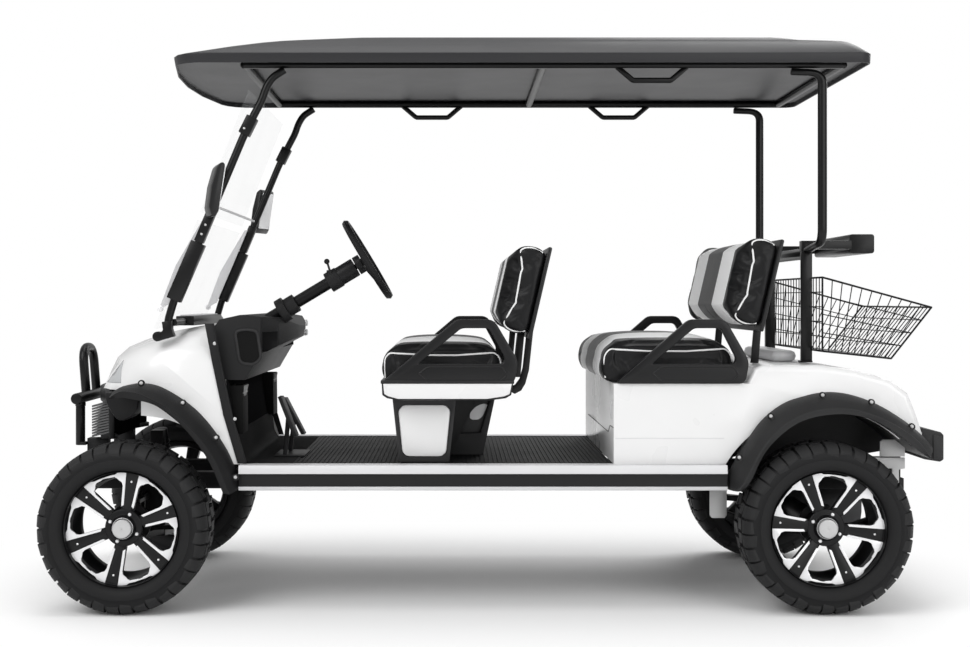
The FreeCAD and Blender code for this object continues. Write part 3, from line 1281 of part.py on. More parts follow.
def rear_body():
    """The rear tub: seat box, deck and tail in one shell, open below and at the wheels."""
    outer = tub_blank(0)
    r = s.tub_edge_radius
    outer = outer.makeFillet(r, [e for e in outer.Edges if e.BoundBox.XLength < r
                                 and e.BoundBox.ZMin > s.tub_back_low
                                 and e.BoundBox.YMin > rear + s.tub_front_r + s.seat_gap])
    inner = tub_blank(s.body_wall + s.tub_edge_radius / 3)
    y0 = rear + s.tub_front_r
    wall, wide = s.body_wall, s.body_half + s.sill_reach
    under = block(-s.body_half + wall, s.body_half - wall, y0 + wall, tail_y() - wall, 0,
                  s.tub_low + wall * 3)
    arch = disc_x(-wide, wide, rear, s.rear_arch_z, s.rear_arch_radius)
    tail = block(-wide, wide, rear, y0 + 2 * s.tub_length, 0, s.tub_back_low)
    keep("rear_body", biggest(outer.cut(inner).cut(under).cut(arch).cut(tail)))


def rear_bumper():
    y0 = tail_y() + s.tail_bumper_reach
    body = block(-s.tail_bumper_half, s.tail_bumper_half, y0, y0 + s.tail_bumper_depth, s.tail_bumper_low,
                 s.tail_bumper_top)
    r = s.tail_bumper_radius
    body = body.makeFillet(r, [e for e in body.Edges if e.BoundBox.YMin > y0 + r])
    keep("rear_bumper", body)


def tail_lamps():
    x, half = s.tail_lamp_x, s.tail_lamp_half
    space = block(x - half, x + half, tail_y() - s.tub_length / 4, tail_y() + s.tub_length,
                  s.tail_lamp_low, s.tail_lamp_top)
    lamp = space.common(tub_blank(-s.tail_lamp_depth)).cut(tub_blank(-s.seat_gap))
    keep("tail_lamps", both_sides(lamp))


def hitch():
    """The towing bracket: a level plate with its pin hole, on a cross piece over the frame."""
    y1 = tail_y() + s.hitch_reach
    y0 = y1 - s.hitch_length
    x = s.hitch_half
    plate = block(-x, x, y0, y1, s.hitch_low, s.hitch_low + s.hitch_plate)
    hole = Part.makeCylinder(s.hitch_pin_radius, s.hitch_plate * 3,
                             V(0, y1 - s.hitch_pin_back, s.hitch_low - s.hitch_plate))
    cross = block(-s.rail_x, s.rail_x, y0, y0 + s.cross_half, s.rail_top + s.seat_gap,
                  s.hitch_low + s.hitch_upright)
    keep("hitch", fused([plate, cross]).cut(hole))


def bag_stand():
    """A cross bar between the rear posts, with arms back to the padded bag rest."""
    y, z, r = strut_y(), s.bag_bar_z, s.bag_bar_radius
    deep = s.strut_width / 2
    back = y + s.bag_bar_back
    inside = s.stand_x - s.strut_side / 2 - s.seat_gap
    parts = [prism_x(-inside, inside, y, s.strut_low, r, 8)]
    for sign in (1, -1):
        x = sign * (inside - r)
        parts.append(block(x - r, x + r, y - s.bag_bar_ahead, back, z - r, z + r / 2))
        parts.append(block(x - r, x + r, y - deep, y + deep, s.strut_low - r, z))
    body = block(-s.bag_pad_half, s.bag_pad_half, back, back + s.bag_pad_length,
                 z - s.bag_pad_height / 2, z + s.bag_pad_height / 2)
    body = body.makeFillet(s.bag_bar_radius / 2,
                           [e for e in body.Edges if e.BoundBox.XLength > s.bag_pad_half])
    keep("bag_stand", fused(parts + [body]))


BASKET_SHARES = [(0.0, 0.09), (0.0, 1.0), (1.0, 0.63), (0.63, 0.0)]


def basket():
    """The wire basket: grids of square wires in its sides, floor and back on heavier rims."""
    r = s.basket_rod
    y0 = strut_y() + s.strut_width / 2 + r + s.seat_gap
    low_front, top_front, top_back, low_back = side_points(BASKET_SHARES, y0, s.basket_low,
                                                           s.basket_depth, s.basket_height)
    left = V(s.basket_half, 0, 0)
    parts = []

    def rod(a, b, radius=r / 2):
        parts.append(bar_along([a, b], radius, 4))

    for a, b in ((low_front, top_front), (top_front, top_back), (top_back, low_back),
                 (low_back, low_front)):
        rod(a + left, b + left, r)
        rod(a - left, b - left, r)
        rod(a - left, a + left, r)
    count = int(s.basket_side_wires)
    for i in range(1, count):
        top = top_front + (top_back - top_front) * (i / count)
        base = low_front + (low_back - low_front) * (i / count)
        rod(top + left, base + left)
        rod(top - left, base - left)
        rod(base - left, base + left)
    for i in range(1, int(s.basket_rows)):
        a = low_front + (top_front - low_front) * (i / s.basket_rows)
        b = low_back + (top_back - low_back) * (i / s.basket_rows)
        rod(a + left, b + left)
        rod(a - left, b - left)
        rod(a - left, a + left)
        rod(b - left, b + left)
    for i in range(1, int(s.basket_back_wires)):
        side = left * (2 * i / s.basket_back_wires - 1)
        rod(low_back + side, top_back + side)
        rod(low_front + side, top_front + side)
    keep("basket", fused(parts))


wheels()
knuckles()
front_suspension()
tie_rod()
rear_axle()
drive_motor()
frame_rails()
battery_block()
floor_pieces()
rockers()
front_body()
front_bumper()
grille()
brush_guard()
flares()
dash()
steering()
kick_panel()
side_pockets()
pedals()
front_posts()
windscreen()
roof()
roof_frame()
rear_struts()
grab_handles()
mirrors()
seat_base()
seat_pan()
cushions()
backrests()
back_supports()
armrests()
rear_body()
rear_bumper()
tail_lamps()
hitch()
bag_stand()
basket()

doc.recompute()
for item in doc.Objects:
    if "Invalid" in item.State or "Error" in item.State:
        raise RuntimeError(f"{item.Label} failed: {item.State}")
for piece in PIECES:
    if piece.Shape.isNull() or not piece.Shape.isValid():
        raise RuntimeError(f"{piece.Label} has no valid shape")
for piece in PIECES:
    piece.Shape.exportStep(f"parts/{piece.Label}.step")
    box = piece.Shape.BoundBox
    print(f"{piece.Label:20s} solids {len(piece.Shape.Solids):3d}  volume {piece.Shape.Volume / 1e6:8.3f} l"
          f"  x {box.XMin:7.1f} {box.XMax:7.1f}  y {box.YMin:7.1f} {box.YMax:7.1f}"
          f"  z {box.ZMin:7.1f} {box.ZMax:7.1f}")
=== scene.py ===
import json
import math

import bmesh
import bpy
from mathutils import Matrix, Vector
from mathutils.bvhtree import BVHTree


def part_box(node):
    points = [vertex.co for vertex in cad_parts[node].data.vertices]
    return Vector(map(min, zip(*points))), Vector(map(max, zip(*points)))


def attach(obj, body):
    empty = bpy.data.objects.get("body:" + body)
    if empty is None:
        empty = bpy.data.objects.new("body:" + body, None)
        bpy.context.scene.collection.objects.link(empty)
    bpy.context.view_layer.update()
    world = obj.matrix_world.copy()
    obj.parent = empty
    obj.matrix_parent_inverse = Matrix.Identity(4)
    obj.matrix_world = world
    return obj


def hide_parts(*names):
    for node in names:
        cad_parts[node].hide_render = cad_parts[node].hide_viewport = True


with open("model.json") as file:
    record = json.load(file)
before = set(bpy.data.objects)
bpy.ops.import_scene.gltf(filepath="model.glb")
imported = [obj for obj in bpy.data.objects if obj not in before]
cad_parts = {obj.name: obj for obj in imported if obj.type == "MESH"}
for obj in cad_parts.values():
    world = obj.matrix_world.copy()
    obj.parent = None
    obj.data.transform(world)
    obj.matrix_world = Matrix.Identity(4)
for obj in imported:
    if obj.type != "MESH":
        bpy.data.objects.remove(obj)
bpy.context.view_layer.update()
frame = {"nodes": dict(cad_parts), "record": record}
nodes = frame["nodes"]
scene = bpy.context.scene
BODY_OF = {node: body for body, names in frame["record"]["behaviour"]["bodies"].items() for node in names}
SLOT_OF = {part["node"]: part["material_slot"] for part in frame["record"]["subparts"]}

# The photograph's frame and the camera's own sizes
IMAGE_WIDTH = 970
IMAGE_HEIGHT = 647
SENSOR_WIDTH = 36.0
FOCAL_PIXELS = 1401.0
PRINCIPAL_PIXEL = (455.0, 300.0)
CAMERA_PLACE = Vector((5.355, -0.138, 1.07))

# Places on the cart, in metres
FRONT = -1.27
REAR = 1.13
WHEEL_X = 0.52
WHEEL_Z = 0.292
POST_X = 0.5
TRIM_X = 0.519
MIRROR = Matrix.Scale(-1, 4, Vector((1, 0, 0)))

# The cushions' simulation
VOXEL, QUICK_VOXEL = 0.006, 0.012
PRESSURE = 4.0
LAST_FRAME = 20


# Materials: shared shader groups, then one finish for each of the record's slots

def add_node(tree, kind, inputs=None, **settings):
    """A new node with its settings, and the values of its unlinked inputs."""
    made = tree.nodes.new(kind)
    for name, value in settings.items():
        setattr(made, name, value)
    for socket, value in (inputs or {}).items():
        made.inputs[socket].default_value = value
    return made


def link(tree, *links):
    """Links sockets, each pair given as (node, output, node, input)."""
    for start, leaves, end, enters in links:
        tree.links.new(start.outputs[leaves], end.inputs[enters])


def shader_group(name, outputs, inputs):
    """A shader node group with its sockets, and its input and output nodes."""
    tree = bpy.data.node_groups.new(name, "ShaderNodeTree")
    for label, kind in outputs:
        tree.interface.new_socket(label, in_out="OUTPUT", socket_type=kind)
    for label, kind, value in inputs:
        socket = tree.interface.new_socket(label, in_out="INPUT", socket_type=kind)
        socket.default_value = value
    return tree, tree.nodes.new("NodeGroupInput"), tree.nodes.new("NodeGroupOutput")


def grain_group():
    """Fine surface grain: a bumped normal and a mask of slow mottling, from Object coordinates."""
    tree, given, out = shader_group(
        "grain", [("Normal", "NodeSocketVector"), ("Mask", "NodeSocketFloat")],
        [("Scale", "NodeSocketFloat", 900.0), ("Depth", "NodeSocketFloat", 0.2), ("Patch", "NodeSocketFloat", 6.0)])
    place = add_node(tree, "ShaderNodeTexCoord")
    fine, slow = (add_node(tree, "ShaderNodeTexNoise") for _ in range(2))
    bump = add_node(tree, "ShaderNodeBump", {"Distance": 0.0006})
    link(tree, (place, "Object", fine, "Vector"), (place, "Object", slow, "Vector"), (given, "Scale", fine, "Scale"),
         (given, "Patch", slow, "Scale"), (given, "Depth", bump, "Strength"), (fine, "Fac", bump, "Height"),
         (bump, "Normal", out, "Normal"), (slow, "Fac", out, "Mask"))
    return tree


def leather_group():
    """Vinyl grain: small cells pressed into the surface."""
    tree, given, out = shader_group("leather", [("Normal", "NodeSocketVector")],
                                    [("Scale", "NodeSocketFloat", 260.0)])
    place = add_node(tree, "ShaderNodeTexCoord")
    cells = add_node(tree, "ShaderNodeTexVoronoi", feature="DISTANCE_TO_EDGE")
    bump = add_node(tree, "ShaderNodeBump", {"Strength": 0.25, "Distance": 0.0008})
    link(tree, (place, "Object", cells, "Vector"), (given, "Scale", cells, "Scale"),
         (cells, "Distance", bump, "Height"), (bump, "Normal", out, "Normal"))
    return tree


def edge_group():
    """A mask of the edges that get a painted highlight, from Pointiness."""
    tree, given, out = shader_group("edges", [("Mask", "NodeSocketFloat")],
                                    [("Low", "NodeSocketFloat", 0.5), ("High", "NodeSocketFloat", 0.58)])
    shape, span = add_node(tree, "ShaderNodeNewGeometry"), add_node(tree, "ShaderNodeMapRange")
    link(tree, (shape, "Pointiness", span, "Value"), (given, "Low", span, "From Min"),
         (given, "High", span, "From Max"), (span, "Result", out, "Mask"))
    return tree


def stripe_group():
    """A mask of the seats' light bands, from the distance to the cart's middle plane."""
    tree, given, out = shader_group("stripes", [("Mask", "NodeSocketFloat")],
                                    [("Inner", "NodeSocketFloat", 0.144), ("Outer", "NodeSocketFloat", 0.365)])
    place, split = add_node(tree, "ShaderNodeTexCoord"), add_node(tree, "ShaderNodeSeparateXYZ")
    away, above, below, both = (add_node(tree, "ShaderNodeMath", operation=kind)
                                for kind in ("ABSOLUTE", "GREATER_THAN", "LESS_THAN", "MULTIPLY"))
    link(tree, (place, "Object", split, "Vector"), (split, "X", away, 0), (away, 0, above, 0), (away, 0, below, 0),
         (given, "Inner", above, 1), (given, "Outer", below, 1), (above, 0, both, 0), (below, 0, both, 1),
         (both, 0, out, "Mask"))
    return tree


GRAIN, LEATHER, EDGES, STRIPES = grain_group(), leather_group(), edge_group(), stripe_group()


def finish(name, color, roughness, metallic=0.0, grain=900.0, depth=0.2, mottle=0.06, coat=0.0,
           edge=0.0, specular=0.5):
    """A finish with grained normals, slow mottling and a painted highlight along its edges, on one base colour."""
    made = bpy.data.materials.new(name)
    made.use_nodes = True
    tree = made.node_tree
    shader = tree.nodes["Principled BSDF"]
    for socket, value in (("Metallic", metallic), ("Coat Weight", coat), ("Coat Roughness", 0.12),
                          ("Specular IOR Level", specular)):
        shader.inputs[socket].default_value = value
    surface = add_node(tree, "ShaderNodeGroup", {"Scale": grain, "Depth": depth}, node_tree=GRAIN)
    edge_highlight = add_node(tree, "ShaderNodeGroup", node_tree=EDGES)
    dark, pale = (*(c * (1 - mottle) for c in color), 1), (*(min(1, c * (1 + mottle)) for c in color), 1)
    patch = add_node(tree, "ShaderNodeMix", data_type="RGBA")
    patch.inputs["A"].default_value, patch.inputs["B"].default_value = dark, pale
    # The edge mask adds a painted highlight to the base colour: a lighter tone along sharp edges.
    light = add_node(tree, "ShaderNodeMix", data_type="RGBA", blend_type="ADD")
    light.inputs["B"].default_value = (edge, edge, edge, 1)
    spread = add_node(tree, "ShaderNodeMapRange", {"To Min": roughness * 0.9, "To Max": min(1.0, roughness * 1.1)})
    link(tree, (surface, "Normal", shader, "Normal"), (surface, "Mask", patch, "Factor"),
         (edge_highlight, "Mask", light, "Factor"), (patch, "Result", light, "A"), (light, "Result", shader, "Base Color"),
         (surface, "Mask", spread, "Value"), (spread, "Result", shader, "Roughness"))
    return made


def vinyl():
    """Seat vinyl in black and light grey bands with a leather grain."""
    made = finish("seat_vinyl", (0.02, 0.02, 0.02), 0.42, specular=0.22)
    tree = made.node_tree
    shader = tree.nodes["Principled BSDF"]
    bands, grain = (add_node(tree, "ShaderNodeGroup", node_tree=group) for group in (STRIPES, LEATHER))
    mix = add_node(tree, "ShaderNodeMix", data_type="RGBA")
    mix.inputs["A"].default_value = (0.006, 0.006, 0.0065, 1)
    mix.inputs["B"].default_value = (0.92, 0.92, 0.92, 1)
    link(tree, (bands, "Mask", mix, "Factor"), (mix, "Result", shader, "Base Color"),
         (grain, "Normal", shader, "Normal"))
    return made


def clear(name, color, strength):
    """A thin clear sheet: mostly see-through, with a soft sheen."""
    made = finish(name, color, 0.06, depth=0.0)
    made.node_tree.nodes["Principled BSDF"].inputs["Alpha"].default_value = strength
    return made


# Each finish's edge value is the strength of its painted edge highlight.
FINISH = {
    "black_steel": finish("black_steel", (0.004, 0.004, 0.0045), 0.42, edge=0.006, specular=0.2),
    "black_moulding": finish("black_moulding", (0.009, 0.009, 0.0095), 0.5, grain=1400, depth=0.4,
                             edge=0.02, specular=0.22),
    "floor_rubber": finish("floor_rubber", (0.008, 0.008, 0.0085), 0.6, depth=0.4, specular=0.2),
    "white_body": finish("white_body", (0.74, 0.74, 0.74), 0.28, grain=500, depth=0.02, mottle=0.01,
                         coat=0.5),
    "lamp_clear": finish("lamp_clear", (0.42, 0.43, 0.44), 0.12, depth=0.0, coat=0.6),
    "grey_moulding": finish("grey_moulding", (0.02, 0.02, 0.021), 0.45, edge=0.03, specular=0.3),
    "black_tube": finish("black_tube", (0.002, 0.002, 0.0022), 0.3, depth=0.1, edge=0.004, specular=0.25),
    "dash_moulding": finish("dash_moulding", (0.006, 0.006, 0.0065), 0.5, grain=1600, depth=0.4,
                            edge=0.02, specular=0.1),
    "net_pocket": finish("net_pocket", (0.004, 0.004, 0.004), 0.8, depth=0.6, specular=0.15),
    "pedal_steel": finish("pedal_steel", (0.006, 0.006, 0.0065), 0.5, edge=0.01, specular=0.25),
    "clear_screen": clear("clear_screen", (0.9, 0.93, 0.94), 0.05),
    "gloss_black": finish("gloss_black", (0.004, 0.004, 0.0045), 0.34, grain=1400, depth=0.2, edge=0.012,
                          specular=0.25),
    "roof_moulding": finish("roof_moulding", (0.02, 0.02, 0.022), 0.42, grain=700, depth=0.12,
                            mottle=0.05, specular=0.3),
    "seat_vinyl": vinyl(),
    "lamp_red": finish("lamp_red", (0.3, 0.01, 0.01), 0.2, coat=0.5),
    "bare_steel": finish("bare_steel", (0.5, 0.5, 0.5), 0.4, metallic=0.3, mottle=0.1),
    "basket_wire": finish("basket_wire", (0.003, 0.003, 0.0035), 0.4, specular=0.2),
    "motor_grey": finish("motor_grey", (0.04, 0.04, 0.042), 0.5, metallic=0.3),
    "battery_case": finish("battery_case", (0.006, 0.006, 0.006), 0.6, specular=0.2),
    "cast_knuckle": finish("cast_knuckle", (0.008, 0.008, 0.008), 0.55, metallic=0.2, depth=0.5,
                           specular=0.2),
    "wheel_grip": finish("wheel_grip", (0.005, 0.005, 0.0055), 0.5, depth=0.4, edge=0.006, specular=0.2),
    "tyre": finish("tyre", (0.009, 0.009, 0.0095), 0.6, grain=500, depth=0.4, mottle=0.2, edge=0.012,
                   specular=0.16),
    "rim_alloy": finish("rim_alloy", (0.005, 0.005, 0.0055), 0.34, edge=0.006, specular=0.22),
    "bright_alloy": finish("bright_alloy", (0.82, 0.82, 0.83), 0.25, metallic=0.2, grain=300,
                           depth=0.04),
    "piping": finish("piping", (0.8, 0.8, 0.8), 0.45),
    "net_cord": finish("net_cord", (0.35, 0.35, 0.35), 0.7),
    "strip_grey": finish("strip_grey", (0.62, 0.62, 0.63), 0.35, depth=0.05),
    "slat_grey": finish("slat_grey", (0.1, 0.1, 0.102), 0.45, depth=0.1),
    "cap_alloy": finish("cap_alloy", (0.5, 0.5, 0.5), 0.3, metallic=0.2, depth=0.05),
    "dull_black": finish("dull_black", (0.008, 0.008, 0.0085), 0.9, depth=0.3, specular=0.0),
}


# Helpers for meshes

def settled(obj):
    """The object's mesh with its modifiers worked in, as plain data."""
    bpy.context.view_layer.update()
    mesh = bpy.data.meshes.new_from_object(obj.evaluated_get(bpy.context.evaluated_depsgraph_get()))
    obj.modifiers.clear()
    obj.data = mesh
    return obj


def dress(obj, slot, body="chassis", bevel=0.0, angle=32, look=None, replaces=()):
    """Bevels and shades a new piece, gives it its finish and lets it ride on its body."""
    if bevel:
        cut = obj.modifiers.new("bevel", "BEVEL")
        cut.width, cut.segments, cut.limit_method = bevel, 2, "ANGLE"
        cut.angle_limit = math.radians(angle)
        cut.use_clamp_overlap = True
        settled(obj)
    obj.data.shade_smooth()
    obj.data.set_sharp_from_angle(angle=math.radians(angle))
    obj.data.materials.clear()
    obj.data.materials.append(FINISH[look or slot])
    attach(obj, body)
    if replaces:
        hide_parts(*replaces)
    return obj


def new_object(name, verts, faces, edges=()):
    """A new mesh object with its faces turned outwards."""
    mesh = bpy.data.meshes.new(name)
    mesh.from_pydata([tuple(v) for v in verts], list(edges), faces)
    if faces:
        work = bmesh.new()
        work.from_mesh(mesh)
        bmesh.ops.recalc_face_normals(work, faces=work.faces)
        work.to_mesh(mesh)
        work.free()
    mesh.update()
    obj = bpy.data.objects.new(name, mesh)
    scene.collection.objects.link(obj)
    return obj


def dressed(node, bevel=0.0015, angle=32, look=None):
    """A CAD node's own form with cleaned faces, small bevels and its finish."""
    obj = bpy.data.objects.new(node + "_shown", nodes[node].data.copy())
    scene.collection.objects.link(obj)
    work = bmesh.new()
    work.from_mesh(obj.data)
    bmesh.ops.remove_doubles(work, verts=work.verts, dist=0.00002)
    bmesh.ops.dissolve_limit(work, angle_limit=math.radians(0.6), verts=work.verts, edges=work.edges)
    work.to_mesh(obj.data)
    work.free()
    for name in [a.name for a in obj.data.attributes if a.name in ("custom_normal", "sharp_edge")]:
        obj.data.attributes.remove(obj.data.attributes[name])
    return dress(obj, SLOT_OF[node], BODY_OF[node], bevel, angle, look, (node,))


def ring_faces(rows, count, closed_rows=False, closed=True):
    """Quads between rows of as many points each."""
    faces = []
    for i in range(rows if closed_rows else rows - 1):
        for j in range(count if closed else count - 1):
            k, after = (j + 1) % count, (i + 1) % rows
            faces.append((i * count + j, i * count + k, after * count + k, after * count + j))
    return faces


def revolved(name, profile, sides):
    """A closed profile of (x, radius) points turned about the X axis at the origin."""
    verts = []
    for i in range(sides):
        a = 2 * math.pi * i / sides
        verts += [Vector((x, r * math.sin(a), r * math.cos(a))) for x, r in profile]
    return new_object(name, verts, ring_faces(sides, len(profile), True))


def prism(name, outline, depth, way=Vector((1, 0, 0))):
    """A closed outline of points drawn out along a way."""
    count = len(outline)
    verts = [Vector(p) for p in outline] + [Vector(p) + way * depth for p in outline]
    faces = [tuple(range(count))[::-1], tuple(range(count, 2 * count))]
    faces += [(i, (i + 1) % count, count + (i + 1) % count, count + i) for i in range(count)]
    return new_object(name, verts, faces)


def sheet(name, x, outline, depth):
    """A prism on an outline of (y, z) points, drawn out across the cart from x."""
    return prism(name, [(x, y, z) for y, z in outline], depth)


def tube(name, points, radius, sides=12, closed=False):
    """A round tube along a line of points."""
    points = [Vector(p) for p in points]
    count = len(points)
    verts = []
    up = None
    for i, point in enumerate(points):
        before = points[i - 1] if i or closed else point
        after = points[(i + 1) % count] if i < count - 1 or closed else point
        way = (after - before).normalized()
        if up is None:
            up = way.orthogonal().normalized()
        up = (up - way * up.dot(way)).normalized()
        side = way.cross(up)
        for j in range(sides):
            a = 2 * math.pi * j / sides
            verts.append(point + (up * math.cos(a) + side * math.sin(a)) * radius)
    faces = ring_faces(count, sides, closed)
    if not closed:
        faces += [tuple(range(sides))[::-1], tuple(range((count - 1) * sides, count * sides))]
    return new_object(name, verts, faces)


def eased(points, radius, steps=4):
    """A line of points with its corners rounded."""
    points = [Vector(p) for p in points]
    line = [points[0]]
    for before, corner, after in zip(points, points[1:], points[2:]):
        reach = min(radius, (before - corner).length * 0.45, (after - corner).length * 0.45)
        a, b = corner + (before - corner).normalized() * reach, corner + (after - corner).normalized() * reach
        for i in range(steps + 1):
            t = i / steps
            line.append(a * (1 - t) ** 2 + corner * 2 * t * (1 - t) + b * t ** 2)
    return line + [points[-1]]


def cuboid(name, low, high):
    """A box between two corners."""
    (x0, y0, z0), (x1, y1, z1) = low, high
    return prism(name, [(x0, y0, z0), (x0, y1, z0), (x0, y1, z1), (x0, y0, z1)], x1 - x0)


def joined(objs, name):
    """Several new objects as one."""
    work = bmesh.new()
    for obj in objs:
        work.from_mesh(obj.data)
    mesh = bpy.data.meshes.new(name)
    work.to_mesh(mesh)
    work.free()
    for obj in objs:
        bpy.data.objects.remove(obj)
    merged = bpy.data.objects.new(name, mesh)
    scene.collection.objects.link(merged)
    return merged


def moved(obj, matrix):
    """A piece with its mesh moved; a mirrored one gets its faces turned back."""
    obj.data.transform(matrix)
    if matrix.determinant() < 0:
        obj.data.flip_normals()
    return obj


# Geometry Nodes for what repeats

def repeat_tree(name, extra):
    """A node tree that takes the source mesh, and its input and output nodes."""
    tree = bpy.data.node_groups.new(name, "GeometryNodeTree")
    tree.interface.new_socket("Geometry", in_out="OUTPUT", socket_type="NodeSocketGeometry")
    for label, kind in [("Geometry", "NodeSocketGeometry"), ("Finish", "NodeSocketMaterial")] + extra:
        tree.interface.new_socket(label, in_out="INPUT", socket_type=kind)
    return tree, tree.nodes.new("NodeGroupInput"), tree.nodes.new("NodeGroupOutput")


def closed_tree(tree, given, out, last, socket="Instances"):
    """Realizes the last node's instances and sets the finish."""
    real, paint = add_node(tree, "GeometryNodeRealizeInstances"), add_node(tree, "GeometryNodeSetMaterial")
    link(tree, (last, socket, real, "Geometry"), (real, "Geometry", paint, "Geometry"),
         (given, "Finish", paint, "Material"), (paint, "Geometry", out, "Geometry"))
    return tree


def round_tree():
    """Copies of the source, turned about the X axis in even steps."""
    tree, given, out = repeat_tree("repeat_round", [("Count", "NodeSocketInt"), ("Step", "NodeSocketFloat")])
    line = add_node(tree, "GeometryNodeMeshLine", {"Offset": (0, 0, 0)})
    spots, index = add_node(tree, "GeometryNodeInstanceOnPoints"), add_node(tree, "GeometryNodeInputIndex")
    times, turn = add_node(tree, "ShaderNodeMath", operation="MULTIPLY"), add_node(tree, "ShaderNodeCombineXYZ")
    link(tree, (given, "Count", line, "Count"), (line, "Mesh", spots, "Points"),
         (given, "Geometry", spots, "Instance"), (index, "Index", times, 0), (given, "Step", times, 1),
         (times, 0, turn, "X"), (turn, 0, spots, "Rotation"))
    return closed_tree(tree, given, out, spots)


def line_tree():
    """Copies of the source at even steps along a line."""
    tree, given, out = repeat_tree("repeat_line", [("Count", "NodeSocketInt"), ("Offset", "NodeSocketVector")])
    line, spots = add_node(tree, "GeometryNodeMeshLine"), add_node(tree, "GeometryNodeInstanceOnPoints")
    link(tree, (given, "Count", line, "Count"), (given, "Offset", line, "Offset"), (line, "Mesh", spots, "Points"),
         (given, "Geometry", spots, "Instance"))
    return closed_tree(tree, given, out, spots)


def spots_tree():
    """The source object at each point of the given mesh, turned to the point's facing."""
    tree, given, out = repeat_tree("repeat_spots", [("Source", "NodeSocketObject")])
    info, spots = add_node(tree, "GeometryNodeObjectInfo"), add_node(tree, "GeometryNodeInstanceOnPoints")
    named = add_node(tree, "GeometryNodeInputNamedAttribute", {"Name": "facing"}, data_type="FLOAT_VECTOR")
    align = add_node(tree, "FunctionNodeAlignRotationToVector", axis="Z")
    link(tree, (given, "Source", info, "Object"), (info, "Geometry", spots, "Instance"),
         (given, "Geometry", spots, "Points"), (named, "Attribute", align, "Vector"),
         (align, "Rotation", spots, "Rotation"))
    return closed_tree(tree, given, out, spots)


def wire_tree():
    """A round wire along every edge of the given mesh."""
    tree, given, out = repeat_tree("wires", [("Radius", "NodeSocketFloat")])
    line, ring = (add_node(tree, "GeometryNodeMeshToCurve"),
                  add_node(tree, "GeometryNodeCurvePrimitiveCircle", {"Resolution": 8}))
    sweep = add_node(tree, "GeometryNodeCurveToMesh", {"Fill Caps": True})
    link(tree, (given, "Geometry", line, "Mesh"), (given, "Radius", ring, "Radius"),
         (line, "Curve", sweep, "Curve"), (ring, "Curve", sweep, "Profile Curve"))
    return closed_tree(tree, given, out, sweep, "Mesh")


ROUND, LINE, SPOTS, WIRES = round_tree(), line_tree(), spots_tree(), wire_tree()


def repeated(obj, tree, look, **values):
    """Runs a node tree on a piece and keeps the plain mesh that comes out."""
    run = obj.modifiers.new("repeat", "NODES")
    run.node_group = tree
    inputs = {item.name: item.identifier for item in tree.interface.items_tree if item.in_out == "INPUT"}
    run[inputs["Finish"]] = FINISH[look]
    for label, value in values.items():
        run[inputs[label]] = value
    return settled(obj)


def bolts(name, places, radius, height, slot="bare_steel", look=None, body="chassis", sides=16):
    """Round-headed bolts at (point, facing) places."""
    dome = [(0, 0.0001), (0, radius), (height * 0.4, radius), (height * 0.8, radius * 0.7), (height, 0.0001)]
    source = revolved(name + "_source", dome, sides)
    moved(source, Matrix.Rotation(-math.pi / 2, 4, "Y"))
    cloud = new_object(name, [p for p, _ in places], [])
    facing = cloud.data.attributes.new("facing", "FLOAT_VECTOR", "POINT")
    for item, (_, way) in zip(facing.data, places):
        item.vector = Vector(way)
    repeated(cloud, SPOTS, look or slot, Source=source)
    bpy.data.objects.remove(source)
    return dress(cloud, slot, body, look=look)


# Wheels: each is made about the X axis at the origin, outboard side +X, then set in its place

LUGS = 36
SPOKES = 6
SPOKE_TURN = {"front": 11, "rear": 37}
CASING = [(0.048, 0.1805), (0.052, 0.1862), (0.066, 0.1915), (0.0725, 0.1956), (0.084, 0.1957),
          (0.0895, 0.1985), (0.1, 0.2035), (0.1085, 0.214), (0.1125, 0.227),
          (0.1128, 0.237), (0.1112, 0.239), (0.1108, 0.249), (0.107, 0.26), (0.099, 0.2705), (0.086, 0.2775),
          (0.066, 0.2805), (0.033, 0.2815)]
SHOULDER_LUG = [(0.058, 0.2918), (0.08, 0.2895), (0.099, 0.2795), (0.1075, 0.27), (0.1118, 0.26)]
SIDE_LUG = [(0.062, 0.2912), (0.08, 0.2885), (0.098, 0.2785), (0.1055, 0.2715), (0.1085, 0.2675)]
MIDDLE_LUG = [(0.006, 0.2925), (0.03, 0.2923), (0.05, 0.292)]


def spun(x, radius, turn):
    """A point at an angle from the top, in degrees towards the cart's rear."""
    a = math.radians(turn)
    return Vector((x, radius * math.sin(a), radius * math.cos(a)))


def lug(name, section, start, end, slant=0.0, sunk=0.016):
    """A tread block between two angles: its outer section, and the same sunk into the casing."""
    verts = []
    for turn, shift in ((start, -slant / 2), (end, slant / 2)):
        verts += [spun(x + shift, r, turn) for x, r in section]
        verts += [spun(x * 0.96 + shift, r - sunk, turn) for x, r in section[::-1]]
    block = new_object(name, verts, ring_faces(2, 2 * len(section)) + [
        tuple(range(2 * len(section)))[::-1], tuple(range(2 * len(section), 4 * len(section)))])
    cut = block.modifiers.new("bevel", "BEVEL")
    cut.width, cut.segments = 0.0012, 1
    return settled(block)


def tread():
    """Two pitches of blocks on both shoulders, repeated round the tyre."""
    pitch = 360 / LUGS
    blocks = []
    for side in (1, -1):
        shift = pitch / 2 if side < 0 else 0
        for name, section, start, end, slant in (
                ("long", SHOULDER_LUG, 0.6, 8.9, 0.004), ("short", SIDE_LUG, 10.0, 18.9, -0.004),
                ("middle_a", MIDDLE_LUG, 1.8, 9.4, 0.014), ("middle_b", MIDDLE_LUG, 11.4, 18.9, -0.01)):
            block = lug(name, section, start + shift, end + shift, slant)
            blocks.append(moved(block, MIRROR) if side < 0 else block)
    source = joined(blocks, "tread_source")
    return repeated(source, ROUND, "tyre", Count=LUGS // 2, Step=4 * math.pi / LUGS)


def casing():
    """The tyre's smooth casing, turned in one piece."""
    return revolved("casing", CASING + [(-x, r) for x, r in CASING[::-1]], 120)


